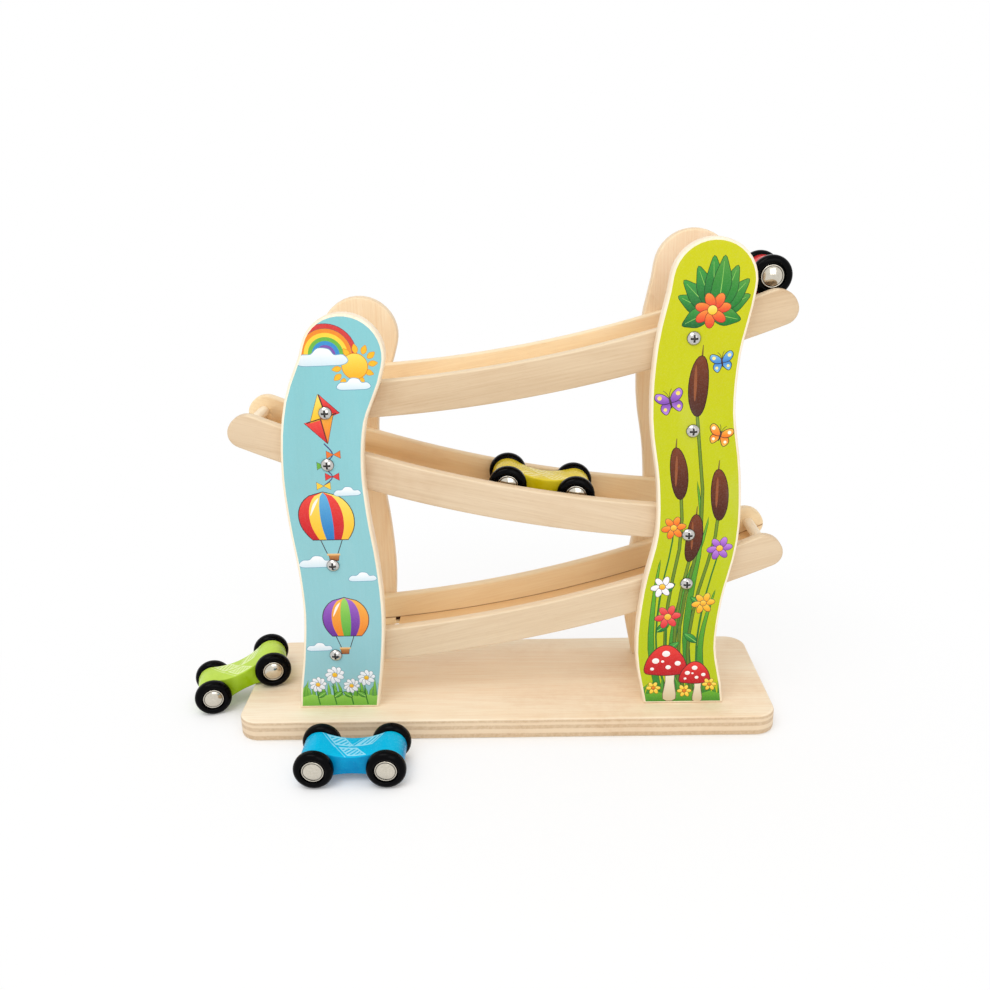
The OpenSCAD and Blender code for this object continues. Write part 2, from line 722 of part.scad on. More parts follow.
// X and Z of an axle rod on a ramp
function on_curve(ramp, radius, angle) =
    ramp_centre(ramp)
        + [ramp_side(ramp) * ramp_point(radius, angle)[0], ramp_point(radius, angle)[1]];
red_front_rod = on_curve(RAMPS[0], axle_radius, red_front_angle);
red_rear_rod = on_curve(RAMPS[0], red_rear_radius, red_rear_angle);
yellow_front_rod = on_curve(RAMPS[1], axle_radius, yellow_front_angle);
yellow_rear_rod = on_curve(RAMPS[1], axle_radius, yellow_front_angle + car_angle);

// Each car: name, colour, middle between its rods, heading and pitch. A heading of 0 faces +X,
// and a positive pitch drops the front
function middle_of(front, rear, y) = [(front[0] + rear[0]) / 2, y, (front[1] + rear[1]) / 2];
function pitch_of(front, rear) = atan2(rear[1] - front[1], abs(front[0] - rear[0]));
CARS = [
    ["red_car", "crimson",
        middle_of(red_front_rod, red_rear_rod, red_car_shift), 180,
        pitch_of(red_front_rod, red_rear_rod)],
    ["yellow_car", "gold",
        middle_of(yellow_front_rod, yellow_rear_rod, yellow_car_shift), 0,
        pitch_of(yellow_front_rod, yellow_rear_rod)],
    ["blue_car", "deepskyblue",
        [blue_car_x, -base_depth / 2 - blue_car_gap - wheel_outer_y, wheel_diameter / 2],
        180, 0],
    ["green_car", "limegreen",
        [-base_length / 2 - green_car_overhang, green_car_y,
            wheel_diameter / 2 + green_car_rise / 2],
        180 + green_car_heading, green_car_tilt]
];

module car_place(car) {
    translate(car[2]) rotate([0, 0, car[3]]) rotate([0, car[4], 0]) children();
}

// The parts of one car: part name, end of the car and side of the car
CAR_PARTS = [
    ["body", 0, 0],
    ["front_axle_rod", 1, 0],
    ["rear_axle_rod", -1, 0],
    ["front_left_wheel", 1, 1],
    ["front_right_wheel", 1, -1],
    ["rear_left_wheel", -1, 1],
    ["rear_right_wheel", -1, -1],
    ["front_hub_caps", 1, 0],
    ["rear_hub_caps", -1, 0]
];

module car_part(car, part) {
    is_rod = part[0] == "front_axle_rod" || part[0] == "rear_axle_rod";
    car_place(car) {
        if (part[0] == "body") color(car[1]) car_body();
        else if (part[2] != 0) wheel(part[1], part[2]);
        else if (is_rod) axle_rod(part[1]);
        else hub_caps(part[1]);
    }
}

module ramp_part(ramp, part) {
    color("burlywood") {
        if (part == "front_rail") rail(ramp, -1);
        if (part == "rear_rail") rail(ramp, 1);
        if (part == "floor") ramp_floor(ramp);
        if (part == "stop_dowel") stop_dowel(ramp);
    }
}

module short_spacer_dowel() {
    color("burlywood") spacer_dowel(short_spacer_place);
}

module tall_spacer_dowel() {
    color("burlywood") spacer_dowel(tall_spacer_place);
}

RAMP_PARTS = ["front_rail", "rear_rail", "floor", "stop_dowel"];

base_board();
base_screws();
front_short_upright();
rear_short_upright();
front_tall_upright();
rear_tall_upright();
short_spacer_dowel();
tall_spacer_dowel();
upright_screws(-1, short_screw_places);  // front_short_upright_screws
upright_screws(1, short_screw_places);  // rear_short_upright_screws
upright_screws(-1, tall_screw_places);  // front_tall_upright_screws
upright_screws(1, tall_screw_places);  // rear_tall_upright_screws
for (ramp = RAMPS, part = RAMP_PARTS)
    ramp_part(ramp, part);
for (car = CARS, part = CAR_PARTS)
    car_part(car, part);
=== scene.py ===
# A click clack track toy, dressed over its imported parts, from the base board up to the cars.
from math import cos, pi, radians, sin, sqrt

import bmesh
import bpy
import numpy as np
from mathutils import Matrix, Vector
from mathutils.geometry import delaunay_2d_cdt


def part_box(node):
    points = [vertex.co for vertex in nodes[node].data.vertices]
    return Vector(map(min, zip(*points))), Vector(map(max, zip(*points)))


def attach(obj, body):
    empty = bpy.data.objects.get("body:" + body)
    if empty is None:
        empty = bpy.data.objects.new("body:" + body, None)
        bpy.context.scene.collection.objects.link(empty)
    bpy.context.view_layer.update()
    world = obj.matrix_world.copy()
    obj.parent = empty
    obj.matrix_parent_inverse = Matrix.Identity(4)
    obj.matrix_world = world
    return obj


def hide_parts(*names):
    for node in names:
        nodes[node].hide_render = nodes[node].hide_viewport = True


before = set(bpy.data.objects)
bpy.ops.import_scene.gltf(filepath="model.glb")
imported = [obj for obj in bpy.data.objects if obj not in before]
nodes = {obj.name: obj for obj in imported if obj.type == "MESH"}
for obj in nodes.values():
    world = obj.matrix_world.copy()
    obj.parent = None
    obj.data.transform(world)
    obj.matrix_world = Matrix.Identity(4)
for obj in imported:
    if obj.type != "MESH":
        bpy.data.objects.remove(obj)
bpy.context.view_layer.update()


# Base board
# A plank of pale plywood with rounded corners. Its faces are sanded, its edges are eased by hand
# and a thin matt lacquer covers it, so the glued layers show along the edge.
def sawn_shape(node):
    """A CAD piece as clean faces, its loose triangles joined up."""
    shape = bmesh.new()
    shape.from_mesh(nodes[node].data)
    bmesh.ops.remove_doubles(shape, verts=shape.verts[:], dist=2e-6)
    flat = radians(0.1)
    bmesh.ops.dissolve_limit(shape, angle_limit=flat, verts=shape.verts[:], edges=shape.edges[:])
    shape.normal_update()
    return shape


def outline_edges(shape):
    """The outer edges of a board's two broad faces, without those of its holes and grooves."""
    broad = max(shape.faces, key=lambda face: face.calc_area()).normal.copy()
    found = []
    for side in (1, -1):
        flat = {face for face in shape.faces if face.normal.dot(broad) * side > 0.999}
        rim = {edge for edge in shape.edges if sum(face in flat for face in edge.link_faces) == 1}
        longest = []
        while rim:
            ends = [rim.pop()]
            loop = []
            while ends:
                loop.append(ends.pop())
                near = {edge for corner in loop[-1].verts for edge in corner.link_edges} & rim
                rim -= near
                ends += near
            longest = max(longest, loop, key=lambda edges: sum(e.calc_length() for e in edges))
        found += longest
    return found


def new_object(name, data):
    made = bpy.data.objects.new(name, data)
    bpy.context.scene.collection.objects.link(made)
    return made


def fit_piece(mesh, body, node):
    """Makes the mesh a piece of the toy, in the place of the CAD node that it replaces."""
    mesh.set_sharp_from_angle(angle=radians(34))
    piece = new_object(mesh.name, mesh)
    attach(piece, body)
    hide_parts(node)


def fit_sawn(node, name, easing, body, slot, *materials, sheet=None):
    """Rounds a sawn piece's outer edges as sandpaper does, prints its front face and fits it."""
    shape = sawn_shape(node)
    bmesh.ops.bevel(
        shape, geom=outline_edges(shape), offset=easing, offset_type="OFFSET", segments=3,
        profile=0.5, affect="EDGES", clamp_overlap=True,
    )
    shape.normal_update()
    if sheet:
        print_on(shape, sheet)
    mesh = bpy.data.meshes.new(name)
    shape.to_mesh(mesh)
    shape.free()
    for material in materials:
        mesh.materials.append(material)
    fit_piece(mesh, body, node)


def colour(code, other=0, share=0.0):
    """A colour code as the linear colour that shaders take, or a mix of two codes by a share."""
    mix = [(a + (b - a) * share) / 255 for a, b in zip(code.to_bytes(3), other.to_bytes(3))]
    return (*(v / 12.92 if v <= 0.04045 else ((v + 0.055) / 1.055) ** 2.4 for v in mix), 1.0)


def feed(socket, value):
    """Links a socket, or sets it where the value is plain."""
    if isinstance(value, bpy.types.NodeSocket):
        socket.id_data.links.new(value, socket)
    else:
        socket.default_value = value


def add_node(kind, *values, tree=None, **named):
    """Adds a node, to the tree that its linked values are in, and gives its outputs. Values feed
    its inputs in order, and named ones those of their name. Small letters name a setting."""
    linked = [v for v in (*values, *named.values()) if isinstance(v, bpy.types.NodeSocket)]
    node = (tree or linked[0].id_data).nodes.new(kind)
    for label, value in named.items():
        if label.islower():
            setattr(node, label, value)
        else:
            feed(node.inputs[label.replace("_", " ")], value)
    for socket, value in zip(node.inputs, values):
        feed(socket, value)
    return node.outputs


def sums(way, *values):
    return add_node("ShaderNodeMath", *values, operation=way)[0]


def scaled(value, by, added):
    return sums("MULTIPLY_ADD", value, by, added)


def joined(way):
    """What joins any count of values by one kind of sum."""

    def join(first, *others):
        for other in others:
            first = sums(way, first, other)
        return first

    return join


times, plus, minus, over, highest = map(joined, ("MULTIPLY", "ADD", "SUBTRACT", "DIVIDE", "MAXIMUM"))


def rise(value, low, high, bottom=0.0, top=1.0):
    """A smooth change from bottom to top while the value goes from low to high."""
    values = (value, low, high, bottom, top)
    return add_node("ShaderNodeMapRange", *values, interpolation_type="SMOOTHSTEP")[0]


def fall(value, low, high):
    return rise(value, low, high, 1.0, 0.0)


def mixed(share, first, second, way="MIX"):
    """Two colours mixed. A plain one is given as its code."""
    tree = (share if isinstance(share, bpy.types.NodeSocket) else first).id_data
    mix = tree.nodes.new("ShaderNodeMix")
    mix.data_type = "RGBA"
    mix.blend_type = way
    for index, value in ((0, share), (6, first), (7, second)):
        feed(mix.inputs[index], colour(value) if isinstance(value, int) else value)
    return mix.outputs[2]


def apart(place):
    """The X, Y and Z of a place."""
    return add_node("ShaderNodeSeparateXYZ", place)


def placed(place, scale=(1, 1, 1), turn=(0, 0, 0), shift=(0, 0, 0)):
    return add_node("ShaderNodeMapping", place, shift, turn, scale)[0]


def noise(place, stretch, detail=3.0, rough=0.5):
    """Cloudy values, so many to the metre, or so many along each axis."""
    scale = stretch if isinstance(stretch, tuple) else (stretch, stretch, stretch)
    spot = placed(place, scale)
    return add_node("ShaderNodeTexNoise", spot, Scale=1.0, Detail=detail, Roughness=rough)["Fac"]


def new_group(name, inputs, outputs, sort="ShaderNodeTree"):
    """A node group with sockets of these names and kinds, and the values that it is given."""
    tree = bpy.data.node_groups.new(name, sort)
    for way, sockets in (("INPUT", inputs), ("OUTPUT", outputs)):
        for label, kind in sockets.items():
            tree.interface.new_socket(label, in_out=way, socket_type=f"NodeSocket{kind}")
    return tree, tree.nodes.new("NodeGroupInput").outputs


def use_group(group, **values):
    return add_node("ShaderNodeGroup", node_tree=group, **values)


def new_finish(name, **plain):
    """A material with plain values on its Principled shader, and its own coordinates."""
    material = bpy.data.materials.new(name)
    material.use_nodes = True
    shading = material.node_tree.nodes
    for label, value in plain.items():
        shading["Principled BSDF"].inputs[label.replace("_", " ")].default_value = value
    return material, shading.new("ShaderNodeTexCoord").outputs


def lay_on(surface, gloss, height=None, depth=0.0, strength=0.0):
    """Gives the Principled shader its colour and its roughness, and its bumps if it has any."""
    shader = surface.id_data.nodes["Principled BSDF"].inputs
    feed(shader["Base Color"], surface)
    feed(shader["Roughness"], gloss)
    if height:
        bump = add_node("ShaderNodeBump", Distance=depth, Strength=strength, Height=height)
        feed(shader["Normal"], bump[0])


# Grain of a pale wood: fine streaks, wide tan flames, growth lines and short dark pores. Grain
# Place runs along the grain in X, in metres.
wood_grain, given = new_group(
    "sanded wood grain",
    {"Grain Place": "Vector", "Pale": "Color", "Tan": "Color", "Figure": "Float"},
    {"Colour": "Color", "Gloss Change": "Float", "Height": "Float"},
)
along = given["Grain Place"]
streaks = noise(along, (24, 1000, 1000), 5.0, 0.62)
flames = noise(along, (5, 55, 55), 2.0)
rings = noise(along, (2.6, 26, 26), 1.0, 0.4)
ring_lines = rise(sums("SINE", times(rings, 95.0)), 0.1, 1.0)
pores = rise(noise(along, (150, 3200, 3200), 1.0), 0.62, 0.74)
tan_share = plus(
    times(rise(streaks, 0.3, 0.75), 0.36),
    rise(flames, 0.35, 0.75, 0.0, 0.3),
    times(ring_lines, given["Figure"]),
    times(pores, 0.3),
)
add_node(
    "NodeGroupOutput",
    Colour=mixed(tan_share, given["Pale"], given["Tan"]),
    Gloss_Change=rise(streaks, 0.2, 0.8, 0.0, 0.12),
    Height=minus(times(streaks, 0.5), pores),
)

# Glued layers of plywood, seen on a cut edge. Across goes from 0 to 1 through the thickness.
ply_layers, given = new_group(
    "plywood layers", {"Grain Place": "Vector", "Across": "Float"}, {"Tan Share": "Float"}
)
place = given["Grain Place"]
wander = times(minus(noise(place, 60), 0.5), 0.07)
layer_stops = [(0.0, 0.5), (0.06, 0.85), (0.24, 0.8), (0.29, 0.15), (0.47, 0.1), (0.52, 0.75)]
layer_stops += [(0.67, 0.7), (0.71, 0.12), (0.81, 0.2), (0.86, 0.75), (1.0, 0.6)]
layer_ramp = ply_layers.nodes.new("ShaderNodeValToRGB")
for across, share in layer_stops[1:-1]:
    layer_ramp.color_ramp.elements.new(across)
for stop, (across, share) in zip(layer_ramp.color_ramp.elements, layer_stops):
    stop.color = (share, share, share, 1.0)
feed(layer_ramp.inputs[0], plus(given["Across"], wander))
fuzz = rise(noise(place, 500, 4.0, 0.7), 0.2, 0.8, 0.55, 1.15)
add_node("NodeGroupOutput", Tan_Share=times(layer_ramp.outputs[0], fuzz))

# Handling marks: broad faint smudges of a toy that has been picked up, broken up by finer spots
handling, given = new_group("handling marks", {"Place": "Vector"}, {"Mask": "Float"})
place = given["Place"]
broad = rise(noise(place, 22, 2.0), 0.45, 0.7)
fine = rise(noise(place, 170, 3.0, 0.6), 0.35, 0.7, 0.4)
add_node("NodeGroupOutput", Mask=times(broad, fine))


def wood_finish(name, turn, figure, pale, tan, plies=None, curve=None):
    """Matt lacquered wood, its grain turned. plies: the axis, start, thickness and share of its
    layers; curve: the middle of a rail's curve, in X and Z."""
    material, coordinates = new_finish(name, Specular_IOR_Level=0.35)
    place, facing = coordinates["Object"], coordinates["Normal"]
    along = placed(place, turn=turn)
    tones = {"Pale": colour(pale), "Tan": colour(tan)}
    grain = use_group(wood_grain, Grain_Place=along, Figure=figure, **tones)
    surface = grain["Colour"]
    if plies:
        axis, start, thickness, share = plies
        height = apart(place)[axis]
        across = over(minus(sums("ABSOLUTE", height), start), thickness)
        layers = use_group(ply_layers, Grain_Place=place, Across=across)
        flat = sums("ABSOLUTE", apart(facing)[axis])
        edge_colour = mixed(layers["Tan Share"], 0xEDD6B7, 0xBE9D76)
        surface = mixed(rise(flat, 0.35, 0.75, share, 0.0), surface, edge_colour)
    smudged = use_group(handling, Place=place)["Mask"]
    surface = mixed(times(smudged, 0.2), surface, 0xD6B080, "MULTIPLY")
    if curve:
        from_middle = placed(place, shift=(-curve[0], 0, -curve[1]))
        marks = use_group(rail_marks, Curve_Place=from_middle, Facing=facing)
        # Paler sanded edges, partly wear and partly painted highlight
        surface = mixed(marks["Worn Edge"], surface, 0xF6E4C4)
        surface = mixed(marks["Joint Shadow"], surface, 0x8C582C)
        # Painted shade inside the groove
        surface = mixed(marks["Groove"], surface, 0x341808)
    gloss = plus(grain["Gloss Change"], scaled(smudged, -0.1, 0.46))
    lay_on(surface, gloss, grain["Height"], 0.00008, 0.35)
    return material


pale_birch, tan_birch = 0xFFF3DA, 0xEDCEA7
base_plies = ("Z", 0.0, 0.012, 0.9)
base_finish = wood_finish("base plywood", (0, 0, 0), 0.09, pale_birch, tan_birch, base_plies)
board_easing = 0.0014
fit_sawn("base_board", "base_plank", board_easing, "track", "base_plywood", base_finish)


# Ramps
# Each ramp is two curved rails sawn from pale board, with a thin floor strip glued in their
# grooves and a round stop dowel between their high tips. All edges of the rails are eased.
# Marks on a sawn rail, told by the distance from the middle of its curve: the sanded edges are a
# little paler, partly from wear and partly as a painted highlight, a thin painted shadow lies along
# the joint with the floor, and painted shade darkens the inside of the groove.
rail_marks, given = new_group(
    "sawn rail marks",
    {"Curve Place": "Vector", "Facing": "Vector"},
    {"Worn Edge": "Float", "Joint Shadow": "Float", "Groove": "Float"},
)
upper_edge, lower_edge, floor_joint = 0.7012, 0.7189, 0.71405
ahead, sideways, upwards = apart(given["Curve Place"])
reach = sums("SQRT", scaled(upwards, upwards, times(ahead, ahead)))
rough_reach = scaled(noise(given["Curve Place"], 90, 2.0), 0.0006, reach)
# Paler sanded edges: partly wear, partly a painted highlight along the rounded edge
upper_wear_highlight = rise(rough_reach, upper_edge - 0.0004, upper_edge + 0.0004, 0.5, 0.0)
lower_wear_highlight = rise(rough_reach, lower_edge - 0.0004, lower_edge + 0.0004, 0.0, 0.25)
from_joint = sums("ABSOLUTE", minus(reach, floor_joint))
shadow = rise(from_joint, 0.00015, 0.0006, 0.75, 0.0)
# The rail's inner face is 19 mm from the toy's middle, and the groove goes in to 21.3 mm
from_middle = sums("ABSOLUTE", sideways)
groove_side = sums("ABSOLUTE", apart(given["Facing"])[1])
# Painted shade: the groove's faces are darkened where little light reaches in
groove = times(rise(groove_side, 0.6, 0.9), rise(from_middle, 0.0194, 0.0204))
add_node(
    "NodeGroupOutput",
    Worn_Edge=plus(upper_wear_highlight, lower_wear_highlight),
    Joint_Shadow=times(fall(from_middle, 0.0192, 0.0194), shadow),
    Groove=times(groove, fall(from_middle, 0.0213, 0.0216)),
)

rail_easing = 0.0011
# One pale board for every rail, but the front rails get darker tones, the top ramp's the darkest, as
# painted shade
for ramp, lean, curve, front_shaded_pale, front_shaded_tan in (
    ("top", 10.5, (-0.104, 0.897), 0xDEC5A3, 0xC4A47E),
    ("middle", -13.5, (0.145005, 0.825538), 0xE5CEAF, 0xCBAD88),
    ("bottom", 13.5, (-0.133775, 0.753717), 0xE6D0B1, 0xCDAF8A),
):
    turn = (0, radians(lean), 0)
    # The rear rails take a lighter tone of the same wood, as painted light
    for side, pale, tan in (("front", front_shaded_pale, front_shaded_tan), ("rear", 0xFDE7BE, 0xEECD9C)):
        rail_finish = wood_finish(f"{ramp} {side} rail wood", turn, 0.1, pale, tan, curve=curve)
        node = f"{ramp}_ramp_{side}_rail"
        fit_sawn(node, f"{ramp}_{side}_rail", rail_easing, "track", "pale_wood", rail_finish)
    floor_finish = wood_finish(f"{ramp} ramp floor wood", turn, 0.08, 0xFADAAA, 0xE8BE88)
    nodes[f"{ramp}_ramp_floor"].data.materials[0] = floor_finish

# Stop dowels and spacer dowels
# Turned birch rod, cut to length, its grain running from one board to the other. It is glued in
# blind holes in the rails, or held by a screw at each end between the uprights.
dowel_finish = wood_finish("birch dowel", (0, 0, -pi / 2), 0.1, pale_birch, tan_birch)
for name, node in nodes.items():
    if name.endswith("_dowel"):
        node.data.materials[0] = dowel_finish

# Uprights
# Four wavy boards of 8 mm plywood, screwed on from under the base. The two in front carry a
# printed picture on their outer face, up to the eased edge, and the two behind are bare.
grain_up = (0, pi / 2, 0)
# One plywood for all four boards: the bare rear boards get a darker tone as painted shade, the printed
# boards' edges a paler one as painted light
bare_finish, lit_edge_finish = (
    wood_finish(f"{name} upright plywood", grain_up, 0.11, pale, tan, ("Y", 0.025, 0.008, ply_share))
    for name, pale, tan, ply_share in (
        ("bare", 0xFCE8C7, 0xEAC595, 0.3),
        ("printed", 0xFFF4DE, 0xF6DBB7, 0.12),
    )
)
for node in ("rear_short_upright", "rear_tall_upright"):
    fit_sawn(node, f"{node}_board", board_easing, "track", "pale_wood", bare_finish)


def put(spots, x, z, size=1.0, turn=0.0):
    """Spots round 0, 0 as points of a picture, in mm: grown, turned, and moved to x, z."""
    along, up = size * cos(radians(turn)), size * sin(radians(turn))
    return [(x + u * along - v * up, z + u * up + v * along) for u, v in spots]


def oval(x, z, wide, high=None, turn=0.0, steps=26):
    """An ellipse with these half widths."""
    around = np.linspace(0, 2 * pi, steps, False)
    return put([(wide * cos(a), (high or wide) * sin(a)) for a in around], x, z, turn=turn)


def through(points, closed=True, steps=5):
    """A smooth line through the points."""
    spots = np.array(points, float)
    before, after = (spots[-1:], spots[:2]) if closed else (spots[:1], spots[-1:])
    spots = np.concatenate([before, spots, after])
    line = []
    for a, b, c, d in zip(spots, spots[1:], spots[2:], spots[3:]):
        for t in np.arange(steps) / steps:
            bend = (2 * a - 5 * b + 4 * c - d) * t * t + (3 * b - a - 3 * c + d) * t**3
            line.append(tuple(0.5 * (2 * b + (c - a) * t + bend)))
    return line if closed else line + [points[-1]]


def left_of(ahead):
    """Directions of length 1, square to the left of these."""
    ahead = ahead / np.maximum(np.linalg.norm(ahead, axis=1, keepdims=True), 1e-9)
    return np.stack([-ahead[:, 1], ahead[:, 0]], 1)


def grown(points, by):
    """The same closed line, moved outwards."""
    spots = np.array(points)
    before, after = np.roll(spots, 1, 0), np.roll(spots, -1, 0)
    area = np.sum(spots[:, 0] * after[:, 1] - spots[:, 1] * after[:, 0])
    return [tuple(p) for p in spots - left_of(after - before) * (by if area > 0 else -by)]


def brush_line(points, start, end=None, steps=5):
    """A stroke through the points, as a closed line. It goes from one width to the other."""
    line = np.array(through(points, False, steps))
    half = np.linspace(start, end or start, len(line))[:, None] / 2
    aside = left_of(np.gradient(line, axis=0)) * half
    return [tuple(p) for p in np.concatenate([line + aside, (line - aside)[::-1]])]


def leaf(x, z, length, width, turn, bend=0.0):
    """A pointed leaf that starts at x, z and grows at an angle, with a curve to one side."""
    sides = [(0.0, 0.0), (0.25, 0.42), (0.55, 0.5), (0.82, 0.26), (1.0, 0.0)]
    sides += [(u, -v) for u, v in sides[3:0:-1]]
    spots = [(u * length, v * width + bend * length * u * u) for u, v in sides]
    return through(put(spots, x, z, turn=turn), steps=3)


class PrintSheet:
    """The pictures for one board, in the order they are laid down, in mm from its middle line."""

    def __init__(self, low, high):
        self.field = (low, high)
        self.shapes = []

    def lay(self, points, low, high=None, line=None, width=0.4):
        """Adds a filled shape that goes from one colour to the other, with an ink line round it."""
        if line:
            self.shapes.append((grown(points, width), line, line))
        self.shapes.append((points, low, high or low))

    def leafy(self, x, z, length, width, turn, low, high, vein, bend=0.0):
        self.lay(leaf(x, z, length, width, turn, bend), low, high, 0x16481E, 0.3)
        rib = [(u * length, bend * length * u * u) for u in (0.05, 0.35, 0.65, 0.9)]
        self.lay(brush_line(put(rib, x, z, turn=turn), 0.5, 0.15, 3), vein)

    def flower(self, x, z, size, petals, low, high, heart, line, turn=0.0):
        for angle in turn + 360 * np.arange(petals) / petals:
            [middle] = put([(0.58, 0)], x, z, size, angle)
            self.lay(oval(*middle, 0.46 * size, 0.27 * size, angle, 14), low, high, line, 0.25)
        self.lay(oval(x, z, 0.27 * size, steps=14), *heart, line, 0.25)

    def cloud(self, x, z, size):
        humps = [(-1.0, -0.1), (-0.78, 0.3), (-0.4, 0.35), (-0.12, 0.72), (0.3, 0.66), (0.5, 0.3)]
        humps += [(0.84, 0.3), (1.02, -0.06), (0.8, -0.3), (0.3, -0.34), (-0.3, -0.36), (-0.82, -0.34)]
        line = through(put([(u, 0.62 * v) for u, v in humps], x, z, size), steps=4)
        self.lay(line, 0xD6E8F0, 0xFFFFFF, 0x74A8BE, 0.35)

    def sky_balloon(self, x, z, size, *stripes):
        """A striped balloon with its ropes and basket."""
        line = 0x3C2C34
        foot = z - 1.32 * size
        for side in (-1, 1):
            rope = [(x + side * 0.42 * size, z - 0.8 * size), (x + side * 0.17 * size, foot - 2.2)]
            self.lay(brush_line(rope, 0.45, steps=2), line)
        basket = [(-0.2, 1.6), (0.2, 1.6), (0.15, 5.2), (-0.15, 5.2)]
        rim = [(-0.24, 1.2), (0.24, 1.2), (0.24, 2.3), (-0.24, 2.3)]
        basket, rim = ([(x + u * size, foot - v) for u, v in part] for part in (basket, rim))
        self.lay(basket, 0x965828, 0xCC8C4A, line, 0.35)
        self.lay(rim, 0xE2AE6C, 0xF0C88C)
        heights = np.linspace(-0.84, 1.0, 14)

        def strip(left, right):
            side = []
            for h in heights:
                half = sqrt(max(0.0, 1 - h * h))
                if h <= -0.2:
                    half = 0.98 * (1 - ((-h - 0.2) / 0.92) ** 1.6 * 0.6)
                side.append((half, h))
            spots = [(right * u, v) for u, v in side] + [(left * u, v) for u, v in side[::-1]]
            return put(spots, x, z, size)

        self.lay(strip(-1, 1), *stripes[0], line, 0.45)
        edges = (-1.0, -0.62, -0.22, 0.22, 0.62, 1.0)
        for k in range(5):
            self.lay(strip(edges[k], edges[k + 1]), *stripes[k % len(stripes)])
        shine = put([(-0.55, 0.1), (-0.42, 0.55), (-0.2, 0.78), (-0.38, 0.4)], x, z, size)
        self.lay(through(shine, steps=4), 0xFFF6EC)

    def butterfly(self, x, z, size, low, high, spot, turn):
        """Four rounded wings with a spot on each, and a thin dark body."""
        dark = 0x281A1E
        for side in (-1, 1):

            def at(*spots):
                return put([(side * u, v) for u, v in spots], x, z, size, turn)

            lower = at((0, -0.02), (0.6, -0.02), (0.78, -0.4), (0.5, -0.8), (0.16, -0.46))
            upper = at((0, 0.05), (0.3, 0.62), (0.82, 0.86), (1.0, 0.5), (0.6, 0.04))
            self.lay(through(lower, steps=4), high, low, dark, 0.35)
            self.lay(through(upper, steps=4), low, high, dark, 0.35)
            for middle, radius in zip(at((0.68, 0.52), (0.5, -0.42)), (0.16, 0.13)):
                self.lay(oval(*middle, radius * size, steps=12), spot)
            self.lay(brush_line(at((0, 0.3), (0.12, 0.72), (0.3, 0.98)), 0.3, 0.25, 3), dark)
        body = [(0, -0.5), (0.08, -0.1), (0.06, 0.34), (0, 0.46), (-0.06, 0.34), (-0.08, -0.1)]
        self.lay(through(put(body, x, z, size, turn), steps=3), dark, 0x5C423E)

    def meadow(self, top, low, high, blades, seed):
        """A strip of grass along the foot of the board, with blades standing out of it."""
        rough = np.random.default_rng(seed)
        for k in range(blades):
            x = -25 + 50 * (k + rough.uniform(0.2, 0.8)) / blades
            tip = rough.uniform(5.0, 11.0)
            lean = rough.uniform(-4.0, 4.0)
            blade = [(-1.1, -3), (-0.7 + 0.35 * lean, 0.5 * tip), (lean, tip)]
            blade += [(0.7 + 0.35 * lean, 0.5 * tip), (1.1, -3)]
            self.lay(put(blade, x, top), low, high, 0x226822, 0.22)
        ground = [(-30, 8), (30, 8), (30, top)]
        ground += [(30 - 5 * k, top + (0.8 if k % 2 else -0.8)) for k in range(1, 12)] + [(-30, top)]
        self.lay(ground, low, high)


def inside(spots, starts, ends):
    """Whether each spot lies within closed lines, by counting the lines to its right."""
    crossings = np.zeros(len(spots), int)
    for (ax, az), (bx, bz) in zip(starts, ends):
        if az != bz:
            between = (spots[:, 1] < max(az, bz)) & (spots[:, 1] >= min(az, bz))
            crossings += between & (ax + (spots[:, 1] - az) * (bx - ax) / (bz - az) > spots[:, 0])
    return crossings % 2 == 1


